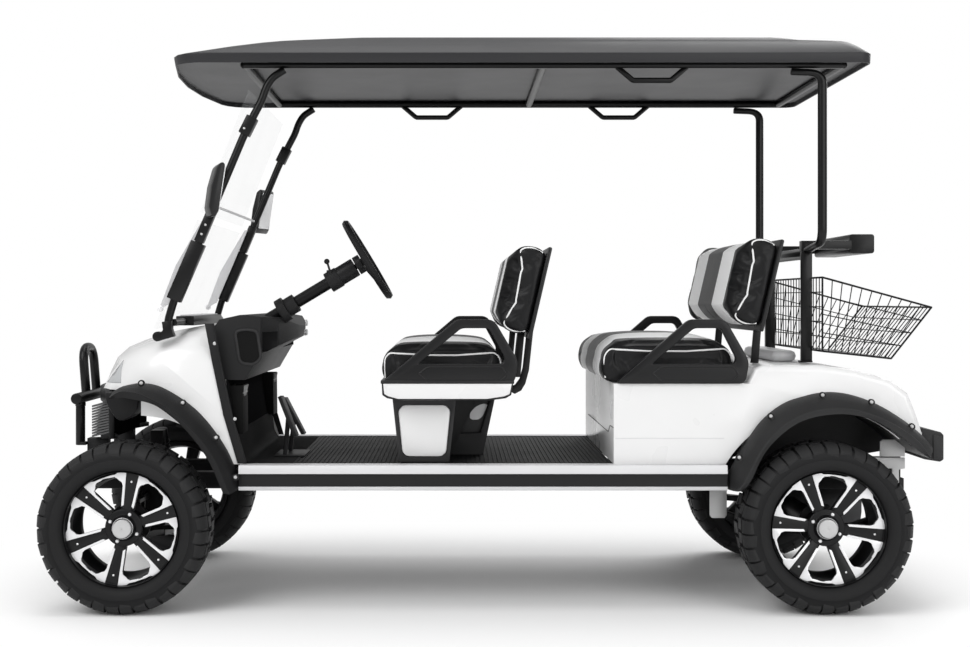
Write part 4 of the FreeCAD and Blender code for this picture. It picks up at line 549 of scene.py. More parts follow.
def face_x(radius):
    """How far outboard the spokes' face lies at a radius."""
    return 0.05 + (radius - 0.06) * 0.17


def spoke_half(radius):
    """Half the dark width of a spoke at a radius."""
    return 0.0125 + max(0.0, radius - 0.062) * 0.075


def beside(radius, off, turn):
    """A point of the wheel's face, off to one side of a spoke's middle line."""
    a = math.radians(turn)
    out, across = Vector((0, math.sin(a), math.cos(a))), Vector((0, math.cos(a), -math.sin(a)))
    return out * math.sqrt(radius ** 2 - off ** 2) + across * off


def plate(name, outline, front, depth):
    """A plate of the rim: an outline of points whose faces follow the spokes' dish."""
    count = len(outline)
    ahead = [Vector((face_x(p.length) + front, p.y, p.z)) for p in outline]
    verts = ahead + [p - Vector((depth, 0, 0)) for p in ahead]
    faces = [tuple(range(count)), tuple(range(count, 2 * count))[::-1]]
    return new_object(name, verts, faces + ring_faces(2, count))


def spoke(turn):
    """One dark spoke: its flat face, and the wider web behind it."""
    pieces = []
    for name, grow, front, depth in (("face", 0.0006, -0.0012, 0.012), ("web", 0.0066, -0.006, 0.026)):
        radii = (0.05, 0.08, 0.16, 0.1905)
        outline = [beside(r, spoke_half(r) + grow, turn) for r in radii]
        outline += [beside(r, -spoke_half(r) - grow, turn) for r in radii[::-1]]
        pieces.append(plate("spoke_" + name, outline, front, depth))
    return joined(pieces, "spoke")


def window_border(turn):
    """The bright machined border of one window, open towards the hub."""
    step, strip = 360 / SPOKES, 0.0082
    side = [(0.086, strip), (0.146, strip), (0.158, 0.0125), (0.166, 0.023)]
    corner = [(0.1925, 11), (0.1915, 15.5), (0.186, 18.5), (0.1855, 24)]
    bay = [(0.173, 17), (0.178, 19.5), (0.178, 25)]
    outer = [beside(r, spoke_half(r), turn) for r in (0.078, 0.088, 0.15, 0.1925)]
    outer += [spun(0, r, turn + a) for r, a in corner + [(0.1845, 30)]]
    outer += [spun(0, r, turn + step - a) for r, a in corner[::-1]]
    outer += [beside(r, -spoke_half(r), turn + step) for r in (0.1925, 0.15, 0.088, 0.078)]
    inner = [beside(0.074, spoke_half(0.078) + 0.007, turn)]
    inner += [beside(r, spoke_half(r) + w, turn) for r, w in side]
    inner += [spun(0, r, turn + a) for r, a in bay + [(0.1802, 26.5), (0.1802, 30)]]
    inner += [spun(0, r, turn + step - a) for r, a in bay[::-1]]
    inner += [beside(r, -spoke_half(r) - w, turn + step) for r, w in side[::-1]]
    inner += [beside(0.074, -spoke_half(0.078) - 0.007, turn + step)]
    return plate("border", outer + inner[::-1], 0.0016, 0.007)


def rim_dark():
    """The rim's barrel, hub, bezel and spokes."""
    barrel = revolved("barrel", [
        (0.0935, 0.1935), (0.0925, 0.195), (0.085, 0.195), (0.0735, 0.1945), (0.0665, 0.1905), (0.053, 0.1855),
        (0.0495, 0.1797), (-0.0845, 0.1797), (-0.0845, 0.194), (-0.085, 0.195), (-0.0925, 0.195), (-0.0935, 0.1935),
        (-0.0925, 0.176), (-0.06, 0.1735), (-0.045, 0.166), (-0.02, 0.166), (0.0, 0.1735), (0.052, 0.1735),
        (0.0555, 0.181), (0.068, 0.1865), (0.0735, 0.1925)], 96)
    hub = revolved("hub", [
        (-0.058, 0.0205), (-0.058, 0.072), (-0.046, 0.072), (-0.046, 0.05), (0.03, 0.052), (0.046, 0.064),
        (0.0495, 0.0635), (0.0515, 0.061), (0.0515, 0.045), (0.054, 0.0425), (0.064, 0.0385), (0.0665, 0.037),
        (0.0665, 0.0345), (0.052, 0.033), (0.04, 0.0205)], 72)
    return joined([barrel, hub] + [spoke(360 / SPOKES * i) for i in range(SPOKES)], "rim_dark")


def rim_bright():
    """The machined borders with the cap's bezel ring, and the cap."""
    cap = revolved("cap", [(0.042, 0.001), (0.042, 0.0315), (0.078, 0.0315), (0.0797, 0.0305), (0.0803, 0.028),
                           (0.081, 0.001)], 64)
    bezel = revolved("bezel", [(0.064, 0.0362), (0.0667, 0.0362), (0.0675, 0.0353), (0.0667, 0.0344),
                               (0.064, 0.0344)], 64)
    borders = [window_border(360 / SPOKES * i) for i in range(SPOKES)]
    return joined([bezel] + borders, "rim_bright"), cap


def wheel_bolts(turn):
    """Four wheel bolts and one rivet on each spoke, as places and facings."""
    lugs = [(spun(0.0505, 0.05, 25 + 90 * i - turn), (1, 0, 0)) for i in range(4)]
    rivets = [(spun(face_x(0.162) - 0.0015, 0.162, 360 / SPOKES * i), (1, 0, 0)) for i in range(SPOKES)]
    return lugs, rivets


def wheels():
    round_casing, round_tread, dark, (bright, cap) = casing(), tread(), rim_dark(), rim_bright()
    for end, y in (("front", FRONT), ("rear", REAR)):
        turn = SPOKE_TURN[end]
        lugs, rivets = wheel_bolts(turn)
        nuts = bolts("wheel_nuts", lugs, 0.0062, 0.007, "rim_alloy", "bright_alloy")
        studs = bolts("rim_rivets", rivets, 0.0036, 0.003, "rim_alloy", "bright_alloy")
        fasteners = joined([nuts, studs], "wheel_fasteners")
        for side, sign in (("left", 1), ("right", -1)):
            place = Matrix.Translation((0, y, WHEEL_Z)) @ Matrix.Scale(sign, 4, Vector((1, 0, 0))) @ \
                Matrix.Translation((WHEEL_X, 0, 0)) @ Matrix.Rotation(math.radians(-turn), 4, "X")
            body, at = f"wheel_{end}_{side}", f"{end}_{side}"
            for source, label, kind, look, bevel in (
                    (round_casing, "tyre_casing_", "tyre", None, 0), (round_tread, "tyre_tread_", "tyre", None, 0),
                    (dark, "rim_web_", "rim_alloy", None, 0.0008),
                    (bright, "rim_face_", "rim_alloy", "bright_alloy", 0.0006),
                    (cap, "rim_cap_", "rim_alloy", "cap_alloy", 0.0006),
                    (fasteners, "rim_bolts_", "rim_alloy", "bright_alloy", 0)):
                piece = source.copy()
                piece.data = source.data.copy()
                piece.name = label + at
                scene.collection.objects.link(piece)
                moved(piece, place)
                dress(piece, kind, body, bevel, 35, look,
                      (f"tyre_{at}",) if label == "tyre_casing_" else (f"rim_{at}",) if label == "rim_web_" else ())
        bpy.data.objects.remove(fasteners)
    for source in (round_casing, round_tread, dark, bright, cap):
        bpy.data.objects.remove(source)


# Seats: each cushion is simulated inside its solid's box, then piped

def pillow_source(name, half, length, height, side, ends):
    """A block in the cushion's own frame, x across, y along and z up, rounded more at its two ends."""
    corners = [(-half, length / 2, 0), (-half, 0, 0), (-half, 0, height), (-half, length, height), (-half, length, 0)]
    obj = prism(name, eased([Vector(p) for p in corners + corners[:1]], ends, 7)[:-1], 2 * half)
    work = bmesh.new()
    work.from_mesh(obj.data)
    rim = [e for e in work.edges if abs(e.verts[0].co.x - e.verts[1].co.x) < 1e-5]
    bmesh.ops.bevel(work, geom=rim, offset=side, segments=5, affect="EDGES", profile=0.5)
    bmesh.ops.recalc_face_normals(work, faces=work.faces)
    work.to_mesh(obj.data)
    work.free()
    return obj


def puffed(obj, cap, hold, crown):
    """Crowns the cushion, then swells it by a short cloth run with its base held and its motion capped."""
    remesh = obj.modifiers.new("remesh", "REMESH")
    remesh.mode, remesh.voxel_size = "VOXEL", VOXEL
    settled(obj)
    half, length, height = (max(v.co[i] for v in obj.data.vertices) for i in range(3))
    for v in obj.data.vertices:
        across, along = v.co.x / half, 2 * v.co.y / length - 1
        v.co.z += crown * max(0.0, 1 - across ** 2) * max(0.0, 1 - abs(along) ** 2.5) * v.co.z / height
    start = [v.co.copy() for v in obj.data.vertices]
    pinned = obj.vertex_groups.new(name="held")
    pinned.add([i for i, p in enumerate(start) if hold(p)], 1.0, "REPLACE")
    run = obj.modifiers.new("swell", "CLOTH")
    run.settings.quality = 4
    run.settings.use_pressure = True
    run.settings.uniform_pressure_force = PRESSURE
    run.settings.effector_weights.gravity = 0.0
    run.settings.vertex_group_mass = "held"
    run.point_cache.frame_start, run.point_cache.frame_end = 1, LAST_FRAME
    for step in range(1, LAST_FRAME + 1):
        scene.frame_set(step)
    settled(obj)
    scene.frame_set(1)
    for v, was in zip(obj.data.vertices, start):
        move = v.co - was
        if move.length > cap:
            v.co = was + move.normalized() * cap
    obj.vertex_groups.clear()
    return obj


def side_line(length, height, front_r, back_r, inset):
    """The arch of a cushion's side in its (along, up) plane, from the base in front round to the base behind."""
    i, points = inset, []
    for cy, r, start in ((i + front_r, front_r, 180), (length - i - back_r, back_r, 90)):
        for k in range(7):
            a = math.radians(start - 15 * k)
            points.append((cy + r * math.cos(a), height - i - r + r * math.sin(a)))
    return [(i, 0.012)] + points + [(length - i, 0.012)]


def smoothed(soft):
    smooth = soft.modifiers.new("smooth", "SUBSURF")
    smooth.levels = smooth.render_levels = 1
    return settled(soft)


def cushion(node, cap=0.012):
    """A seat cushion with its banded top and the white piping round both side panels."""
    low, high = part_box(node)
    half, length, height = high.x, high.y - low.y, high.z - low.z
    soft = pillow_source(node + "_soft", half - 0.008, length - 0.016, height - 0.036, 0.022, 0.058)
    moved(soft, Matrix.Translation((0, 0.008, 0)))
    puffed(soft, cap, lambda p: p.z < 0.012, 0.026)
    moved(soft, Matrix.Translation((0, low.y, low.z)))
    smoothed(soft)
    clamp_to(soft, low, high)
    dress(soft, "seat_vinyl", angle=80, replaces=(node,))
    line = [Vector((0, y + low.y, z + low.z)) for y, z in side_line(length, height - 0.022, 0.055, 0.05, 0.012)]
    piping(node + "_piping", soft, line, sum(line, Vector()) / len(line), half - 0.02, 0.0032)


def clamp_to(obj, low, high):
    """Keeps a soft piece inside its solid's box."""
    for v in obj.data.vertices:
        v.co = Vector(max(a, min(b, c)) for a, b, c in zip(low, high, v.co))


def piping(name, soft, line, middle, x, radius):
    """White piping laid on the soft piece's surface along a line in its two side planes."""
    work = bmesh.new()
    work.from_mesh(soft.data)
    tree = BVHTree.FromBMesh(work)
    work.free()
    cords = []
    for sign in (1, -1):
        points = []
        for spot in line:
            out = (spot - middle).normalized()
            hit = tree.ray_cast(Vector((sign * x, spot.y, spot.z)) + out * 0.2, -out)[0]
            if hit is not None:
                points.append(hit)
        cords.append(tube("cord", eased(points, 0.02, 3), radius, 8))
    dress(joined(cords, name), "seat_vinyl", look="piping", angle=80)


def backrest(node, y, low_z, lean=13.0, cap=0.022):
    """A leaning back cushion on its board, with piping round both ends."""
    half, height, thick, board = 0.47, 0.33, 0.134, 0.012
    place = Matrix.Translation((0, y - 0.02, low_z)) @ Matrix.Rotation(math.radians(-lean), 4, "X")
    # The cushion's own frame: its base is the board's face, its length runs up the back
    lying = place @ Matrix.Translation((0, thick - board, 0)) @ Matrix.Rotation(math.radians(90), 4, "X")
    soft = pillow_source(node + "_soft", half - 0.006, height - 0.01, thick - board - 0.016, 0.028, 0.07)
    moved(soft, Matrix.Translation((0, 0.005, 0)))
    puffed(soft, cap, lambda p: p.z < 0.01, 0.014)
    clamp_to(soft, (-half, 0, 0), (half, height, thick - board + 0.006))
    smoothed(soft)
    moved(soft, lying)
    dress(soft, "seat_vinyl", angle=80, replaces=(node,))
    line = [lying @ Vector((0, along, up)) for along, up in side_line(height, thick - board, 0.062, 0.062, 0.008)]
    piping(node + "_piping", soft, line, lying @ Vector((0, height / 2, 0.03)), half - 0.02, 0.0034)
    panel = cuboid(node + "_board", (-half + 0.002, thick - board, 0.0), (half - 0.002, thick + 0.002, height))
    dress(moved(panel, place), "gloss_black", bevel=0.005)


def seats():
    cushion("front_cushion")
    cushion("rear_cushion")
    backrest("front_backrest", 0.016, 0.962)
    backrest("rear_backrest", 0.826, 0.989)
    for node in ("front_armrests", "rear_armrests"):
        armrest(node)
        recess(node)
    pan()
    leaves()
    supports()


def pan():
    """The seat pan's bright band with tapering ends, the black shell under it and the bead on its top."""
    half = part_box("seat_pan")[1].x
    band = [(-0.386, 0.7825), (-0.382, 0.746), (-0.368, 0.738), (-0.334, 0.729), (-0.028, 0.729), (0.032, 0.738),
            (0.051, 0.746), (0.058, 0.7825)]
    shell = [(-0.391, 0.786), (-0.389, 0.742), (-0.372, 0.731), (-0.33, 0.7235), (-0.02, 0.7235), (0.037, 0.731),
             (0.056, 0.742), (0.0635, 0.786)]
    dress(sheet("pan_band", -half, band, 2 * half), "white_body", bevel=0.003, replaces=("seat_pan",))
    dress(sheet("pan_shell", -0.5265, shell, 1.053), "gloss_black", bevel=0.003)
    bead = [(-0.394, 0.781), (-0.394, 0.7935), (0.066, 0.7935), (0.066, 0.781)]
    dress(sheet("pan_bead", -0.5335, bead, 1.067), "gloss_black", bevel=0.003)


def supports():
    """The flat bars that carry the backs: a bent pair on each side in front, one on each side behind."""
    inner = [(0.073, 0.795), (0.095, 0.795), (0.112, 0.975), (0.086, 0.965)]
    outer = [(0.058, 0.744), (0.075, 0.735), (0.098, 0.747), (0.113, 0.772), (0.126, 0.82), (0.141, 0.96),
             (0.155, 1.07), (0.131, 1.07), (0.117, 0.96), (0.103, 0.83), (0.092, 0.79), (0.076, 0.768),
             (0.058, 0.762)]
    rear = [(0.916, 0.8455), (0.944, 0.8455), (0.962, 1.07), (0.936, 1.07)]
    bars = [sheet("bar", x, outline, 0.011)
            for outline in (inner, outer, rear) for x in (-0.362, 0.351)]
    dress(joined(bars, "support_bars"), SLOT_OF["back_supports"], bevel=0.0015, replaces=("back_supports",))


def leaves():
    """A dark web across the pedestal's core, with two light leaf-shaped inserts on each side."""
    web = [(-0.135, 0.724), (0.004, 0.724), (-0.045, 0.505), (-0.135, 0.505)]
    first = [(-0.118, 0.6175), (-0.118, 0.669), (-0.105, 0.682), (-0.072, 0.6855), (-0.0975, 0.654)]
    second = [(-0.083, 0.636), (-0.083, 0.654), (-0.064, 0.676), (-0.042, 0.687), (-0.0166, 0.689), (-0.0276, 0.6616),
              (-0.0387, 0.6395), (-0.0534, 0.63), (-0.0755, 0.63)]
    webs, lights = [], []
    for sign in (1, -1):
        webs.append(sheet("web", sign * 0.19, web, sign * 0.01))
        for leaf in (first, second):
            outline = [Vector((sign * 0.199, y, z)) for y, z in leaf]
            start = (outline[0] + outline[-1]) / 2
            lights.append(prism("leaf", eased([start] + outline + [start], 0.01, 4)[:-1], sign * 0.0025))
    dress(joined(webs, "pedestal_web"), "gloss_black", bevel=0.002)
    dress(joined(lights, "pedestal_leaves"), "grey_moulding", look="strip_grey")


def spaced(line, count, closed=True):
    """So many points at even steps along a line."""
    line = [Vector(p) for p in line]
    ends = line[1:] + (line[:1] if closed else [])
    step = sum((b - a).length for a, b in zip(line, ends)) / (count if closed else count - 1)
    points, walked = [], 0.0
    for a, b in zip(line, ends):
        length = (b - a).length
        while len(points) < count and step * len(points) <= walked + length + 1e-7:
            points.append(a + (b - a) * ((step * len(points) - walked) / length if length else 0))
        walked += length
    return points


ARMREST_POINTS = 96


def armrest(node):
    """A moulded side rest: an eased outline round an open middle, with thick rounded edges."""
    low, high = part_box(node)
    length, height = high.y - low.y, high.z - low.z
    outer = [(0.0, 0.03), (0.53, 0.975), (0.56, 1.0), (0.79, 1.0), (0.83, 0.96), (1.0, 0.351), (0.97, 0.0),
             (0.0, 0.0)]
    inner = [(0.262, 0.306), (0.575, 0.85), (0.6, 0.862), (0.765, 0.862), (0.79, 0.84), (0.9, 0.4), (0.885, 0.306),
             (0.275, 0.306)]
    rings = []
    for line in (outer, inner):
        flat = [Vector((0, low.y + length * a, low.z + height * b)) for a, b in line]
        flat = eased([(flat[0] + flat[-1]) / 2] + flat + [(flat[0] + flat[-1]) / 2], 0.022, 5)[:-1]
        rings.append(spaced(flat, ARMREST_POINTS))
    start = min(range(ARMREST_POINTS), key=lambda k: (rings[1][k] - rings[0][0]).length)
    rings[1] = rings[1][start:] + rings[1][:start]
    sides = []
    for sign in (1, -1):
        verts = [Vector((x, p.y, p.z)) for ring, x in ((rings[0], 0.5002), (rings[0], 0.53), (rings[1], 0.53),
                                                       (rings[1], 0.5002)) for p in ring]
        side = new_object("rest", verts, ring_faces(4, ARMREST_POINTS, True))
        sides.append(moved(side, MIRROR) if sign < 0 else side)
    dress(joined(sides, node + "_frame"), "gloss_black", bevel=0.005, angle=50, replaces=(node,))


def recess(node):
    """The raised border of an armrest's lower panel."""
    low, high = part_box(node)
    length = high.y - low.y
    rim = [(0.27, 0.035), (0.33, 0.058), (0.88, 0.058), (0.915, 0.03), (0.86, 0.008), (0.34, 0.008)]
    for sign in (1, -1):
        x = sign * (high.x - 0.0005)
        line = [(x, low.y + length * a, low.z + up) for a, up in rim]
        dress(tube(node + "_rim", eased(line + line[:1], 0.01, 3), 0.0028, 8), "gloss_black", angle=60)


# Front end

def front_end():
    dressed("cowl", 0.004, 40)
    bumper()
    grille()
    dressed("headlamps", 0.002)
    flares()
    guard()
    cowl_trim()
    flare_bolts()
    arch_liners()


def grille():
    """Slanted light slats before a dark sheet that paints the shade behind them."""
    profile = [(-1.458, 0.572), (-1.388, 0.588), (-1.388, 0.595), (-1.458, 0.579)]
    slat = sheet("slat", -0.262, profile, 0.524)
    slats = repeated(slat, LINE, "slat_grey", Count=12, Offset=(0, 0, 0.0098))
    dress(slats, SLOT_OF["grille"], look="slat_grey", replaces=("grille",))
    # A dark matte sheet behind the slats: painted shade in the gaps between them.
    dress(cuboid("grille_back", (-0.26, -1.395, 0.568), (0.26, -1.386, 0.704)), "black_moulding", look="dull_black")


def bowed(name, half, z0, z1, depth, y0=-1.47, bow=0.11, wide=0.4):
    """A level bar whose front follows the bumper's bow, even in depth."""
    steps = 16
    line = [(half * (2 * k / steps - 1)) for k in range(steps + 1)]
    front_line = [Vector((x, y0 + bow * (x / wide) ** 2, z0)) for x in line]
    back_line = [p + Vector((0, depth, 0)) for p in front_line[::-1]]
    return prism(name, front_line + back_line, z1 - z0, Vector((0, 0, 1)))


def bumper():
    """The bowed bumper bar, the slim surround of the grille below it and the round-bottomed cheeks."""
    pieces = [bowed("bar", 0.4, 0.7, 0.755, 0.05), bowed("sill", 0.262, 0.565, 0.583, 0.06),
              bowed("lip", 0.36, 0.732, 0.7545, 0.12), bowed("top", 0.262, 0.704, 0.728, 0.09)]
    for sign in (1, -1):
        x0, x1 = sorted((sign * 0.2625, sign * 0.27))
        pieces.append(cuboid("upright", (x0, -1.395, 0.565), (x1, -1.375, 0.7)))
        cheek = [(-1.356, 0.748), (-1.3565, 0.715), (-1.335, 0.676), (-1.316, 0.652), (-1.292, 0.648),
                 (-1.264, 0.664), (-1.247, 0.686), (-1.238, 0.748)]
        outline = [Vector((sign * 0.34, y, z)) for y, z in cheek]
        pieces.append(prism("cheek", eased(outline, 0.02, 4), sign * 0.13))
    dress(joined(pieces, "bumper_shown"), "black_moulding", bevel=0.005, angle=35, look="black_steel",
          replaces=("front_bumper",))


# The arches' three lines in the side view: where the flare meets the body, its outer ridge and its lip
FLARE_LINES = {
    "front": (((-1.325, 0.739), (-1.311, 0.759), (-1.291, 0.771), (-1.263, 0.778), (-1.232, 0.784), (-1.191, 0.782),
               (-1.156, 0.773), (-1.104, 0.746), (-1.053, 0.711), (-1.018, 0.68), (-0.984, 0.642), (-0.949, 0.594),
               (-0.921, 0.549), (-0.894, 0.487), (-0.873, 0.425)),
              ((-1.309, 0.739), (-1.289, 0.754), (-1.268, 0.761), (-1.238, 0.758), (-1.207, 0.751), (-1.156, 0.727),
               (-1.122, 0.71), (-1.071, 0.673), (-1.037, 0.639), (-1.003, 0.602), (-0.976, 0.564), (-0.956, 0.534),
               (-0.936, 0.493), (-0.919, 0.449), (-0.902, 0.41)),
              ((-1.317, 0.735), (-1.293, 0.735), (-1.269, 0.739), (-1.232, 0.732), (-1.191, 0.724), (-1.157, 0.713),
               (-1.123, 0.69), (-1.072, 0.649), (-1.038, 0.611), (-1.004, 0.569), (-0.977, 0.527), (-0.96, 0.493),
               (-0.943, 0.452), (-0.926, 0.413))),
    "rear": (((0.801, 0.418), (0.804, 0.466), (0.818, 0.497), (0.846, 0.549), (0.88, 0.604), (0.915, 0.652),
              (0.949, 0.683), (0.984, 0.708), (1.018, 0.725), (1.053, 0.735), (1.104, 0.749), (1.156, 0.754),
              (1.208, 0.749), (1.26, 0.735), (1.311, 0.715), (1.363, 0.687), (1.415, 0.652), (1.45, 0.625),
              (1.481, 0.597), (1.505, 0.566)),
             ((0.819, 0.42), (0.839, 0.442), (0.86, 0.479), (0.887, 0.534), (0.914, 0.578), (0.948, 0.615),
              (0.982, 0.646), (1.016, 0.666), (1.05, 0.683), (1.101, 0.697), (1.162, 0.702), (1.22, 0.697),
              (1.271, 0.683), (1.321, 0.663), (1.372, 0.636), (1.413, 0.608), (1.444, 0.58), (1.474, 0.537)),
             ((0.834, 0.42), (0.854, 0.435), (0.871, 0.459), (0.888, 0.499), (0.908, 0.54), (0.932, 0.574),
              (0.966, 0.608), (1.0, 0.635), (1.034, 0.656), (1.085, 0.673), (1.136, 0.681), (1.187, 0.683),
              (1.238, 0.676), (1.289, 0.661), (1.333, 0.637), (1.374, 0.61), (1.414, 0.577), (1.448, 0.55),
              (1.479, 0.53))),
}
ARCH_STEPS = 64


def arch_line(points):
    """An arch's line, eased and in even steps."""
    return spaced(eased([(0, y, z) for y, z in points], 0.05, 4), ARCH_STEPS, closed=False)


def skin(name, rows):
    """A closed skin over rows of points, each row one line along the piece, with capped ends."""
    count, across = len(rows[0]), len(rows)
    verts = [row[k] for k in range(count) for row in rows]
    faces = ring_faces(count, across) + [tuple(range(across)), tuple(range((count - 1) * across, count * across))]
    return new_object(name, verts, faces)


def flares():
    """The wheel-arch flares: a hollowed outer face, a crisp outer ridge and a lip turned in."""
    for end, lines in FLARE_LINES.items():
        body, ridge, lip = (arch_line(line) for line in lines)
        sides = []
        for sign in (1, -1):
            rows = [[Vector((sign * x, *(a.lerp(b, share)).yz)) for a, b in zip(start, finish_line)]
                    for start, finish_line, share, x in (
                        (body, ridge, 0.0, TRIM_X), (body, ridge, 0.1, 0.545), (body, ridge, 0.5, 0.582),
                        (body, ridge, 0.9, 0.598), (ridge, lip, 0.0, 0.604), (ridge, lip, 0.25, 0.6035),
                        (ridge, lip, 1.0, 0.596), (lip, ridge, 0.12, 0.588), (body, ridge, 0.8, 0.58),
                        (body, ridge, 0.25, TRIM_X))]
            sides.append(skin("flare", rows))
        dress(joined(sides, end + "_flares_shown"), "black_moulding", angle=24, replaces=(end + "_flares",))


def arch_liners():
    """Black liners under the flares' lips, with the inner wall of the rear wheel housing."""
    pieces = []
    for end, first in (("front", 34), ("rear", 0)):
        lip = arch_line(FLARE_LINES[end][2])[first:]
        over = [p + Vector((0, 0.002, 0.006)) for p in lip]
        for sign in (1, -1):
            outline = [Vector((sign * 0.24, p.y, p.z)) for p in lip + over[::-1]]
            pieces.append(prism("liner", outline, sign * 0.35))
            if end == "rear":
                wall = [Vector((sign * 0.24, p.y, p.z)) for p in lip]
                pieces.append(prism("inner_wall", wall, sign * 0.004))
    dress(joined(pieces, "arch_liners"), "black_moulding", look="black_steel", angle=40)


def guard():
    """The bent tube guard with its round cross tube, end caps and tabs."""
    low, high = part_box("brush_guard")
    r, cross_y, cross_z = 0.017, low.y + 0.062, 0.712
    hoop = [(-0.075, low.y + 0.044, cross_z), (-0.075, low.y + 0.03, high.z - r), (0.075, low.y + 0.03, high.z - r),
            (0.075, low.y + 0.044, cross_z)]
    pieces = [tube("hoop", eased(hoop, 0.07, 8), r, 20),
              tube("cross", [(-0.285, cross_y, cross_z), (0.285, cross_y, cross_z)], 0.02, 28)]
    for x in (-0.225, 0.225):
        pieces.append(tube("leg", [(x, cross_y, 0.54), (x, cross_y, cross_z)], r, 20))
        pieces.append(cuboid("tab", (x - r, cross_y, 0.54), (x + r, -1.4853, 0.552)))
        pieces.append(tube("weld", [(x, cross_y, cross_z - 0.03), (x, cross_y, cross_z - 0.016)], r + 0.002, 20))
    dress(joined(pieces, "guard_tubes"), "black_tube", bevel=0.002, angle=40, replaces=("brush_guard",))


def cowl_trim():
    """The dark strip along the front body's rear edge, with its screws."""
    line = [(-0.9975, 0.989), (-0.973, 0.86), (-0.933, 0.672), (-0.884, 0.506)]
    wide, pieces = 0.03, []
    for sign in (1, -1):
        outline = [(y - 0.004, z) for y, z in line] + [(y + wide - 0.002, z) for y, z in line[::-1]]
        pieces.append(sheet("strip", sign * TRIM_X, outline, sign * 0.0055))
        ridge = [(sign * 0.5245, y + wide - 0.006, z) for y, z in line]
        pieces.append(tube("ridge", ridge, 0.0022, 8))
    dress(joined(pieces, "cowl_edge_strip"), "dash_moulding", bevel=0.0015)
    spots = [((sign * 0.524, y + 0.008, z), (sign, 0, 0)) for y, z in ((-0.975, 0.92), (-0.905, 0.66))
             for sign in (1, -1)]
    bolts("cowl_screws", spots, 0.006, 0.003, "bare_steel")


def flare_bolts():
    """Recessed domed bolts along the arch lips."""
    spots, cups = [], []
    for y, z in ((-1.21, 0.789), (-1.068, 0.722), (-0.954, 0.603), (-0.888, 0.467), (0.833, 0.535), (0.941, 0.676),
                 (1.118, 0.748), (1.285, 0.724), (1.423, 0.641)):
        for sign in (1, -1):
            at = Vector((sign * 0.566, y, z - 0.004))
            spots.append((at + Vector((sign * 0.003, 0, 0.001)), (sign, 0, 0.45)))
            cups.append((at, (sign, 0, 0.45)))
    bolts("flare_cups", cups, 0.0125, 0.004, "black_moulding", "black_tube")
    bolts("flare_bolts", spots, 0.006, 0.006, "bare_steel")


# The rest of the rigid nodes keep their solids' own form, cleaned and bevelled

PLAIN = {
    "frame_rails": 0.002, "floor_pan": 0.002, "dash": 0.006, "side_pockets": 0.001, "pedals": 0.0015,
    "steering_column": 0.0015, "windscreen": 0.0008, "roof": 0.004, "roof_frame": 0.002, "grab_handles": 0.002,
    "seat_pedestal": 0.004, "pedestal_panels": 0.003, "rear_body": 0.004, "tail_lamps": 0.003, "hitch": 0.001,
    "bag_stand": 0.004, "front_suspension": 0.001, "rear_axle": 0.001, "drive_motor": 0.002, "battery_block": 0.003,
    "knuckle_left": 0.001, "knuckle_right": 0.001, "steering_wheel": 0.004, "tie_rod": 0.001,
}


def plain_nodes():
    for node, bevel in PLAIN.items():
        dressed(node, bevel)


# Sides, floor, posts and rear

def painted(obj, look, test):
    """Gives the faces that pass a test a second finish."""
    obj.data.materials.append(FINISH[look])
    for face in obj.data.polygons:
        if test(face.center):
            face.material_index = 1
    return obj


def sills():
    """The rockers: a black set-back panel between a bright top strip and a bright lower edge."""
    obj = dressed("rockers", 0.0012)
    painted(obj, "strip_grey", lambda c: abs(c.x) > 0.5 and (c.z > 0.4745 or c.z < 0.4305))


def mat():
    """The ribbed rubber mat: a plain slab with fine cross ribs, and ribs up the toe board."""
    low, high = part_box("floor_mat")
    slab = cuboid("slab", (low.x, low.y, low.z), (high.x, high.y, 0.5))
    rib = cuboid("rib", (low.x + 0.014, -0.7, 0.4995), (high.x - 0.014, -0.693, 0.5025))
    ribs = repeated(rib, LINE, "floor_rubber", Count=71, Offset=(0, 0.0155, 0))
    border = cuboid("border", (low.x + 0.014, high.y - 0.008, 0.4995), (high.x - 0.014, high.y - 0.001, 0.503))
    dress(joined([slab, ribs, border], "mat_slab"), "floor_rubber", replaces=("floor_mat",))
    toe = tube("toe_rib", eased([(-0.447, -0.705, 0.5008), (-0.447, -0.868, 0.5008), (-0.447, -0.886, 0.53),
                                 (-0.447, -0.9, 0.61)], 0.02, 3), 0.0018, 6)
    dress(repeated(toe, LINE, "floor_rubber", Count=57, Offset=(0.016, 0, 0)), "floor_rubber")


# A front post's middle line in the side view, from its foot to the roof rail
POST_LINE = ((-1.133, 0.985), (-1.1297, 1.008), (-1.1117, 1.07), (-1.025, 1.271), (-0.862, 1.659), (-0.807, 1.763),
             (-0.793, 1.805), (-0.772, 1.84), (-0.728, 1.868))


def post_at(z):
    """A front post's middle line at a height, in the side view."""
    for (y0, z0), (y1, z1) in zip(POST_LINE, POST_LINE[1:]):
        if z <= z1:
            return Vector((0, y0 + (y1 - y0) * (z - z0) / (z1 - z0), z))
    return Vector((0, *POST_LINE[-1]))


def sleeve(name, x, z0, z1, half, thick):
    """A flat-sided sleeve round a front post between two heights."""
    a, b = post_at(z0), post_at(z1)
    across = Vector((1, 0, 0)).cross((b - a).normalized())
    outline = [a - across * half, a + across * half, b + across * half, b - across * half]
    return prism(name, [Vector((x - thick, p.y, p.z)) for p in outline], 2 * thick)


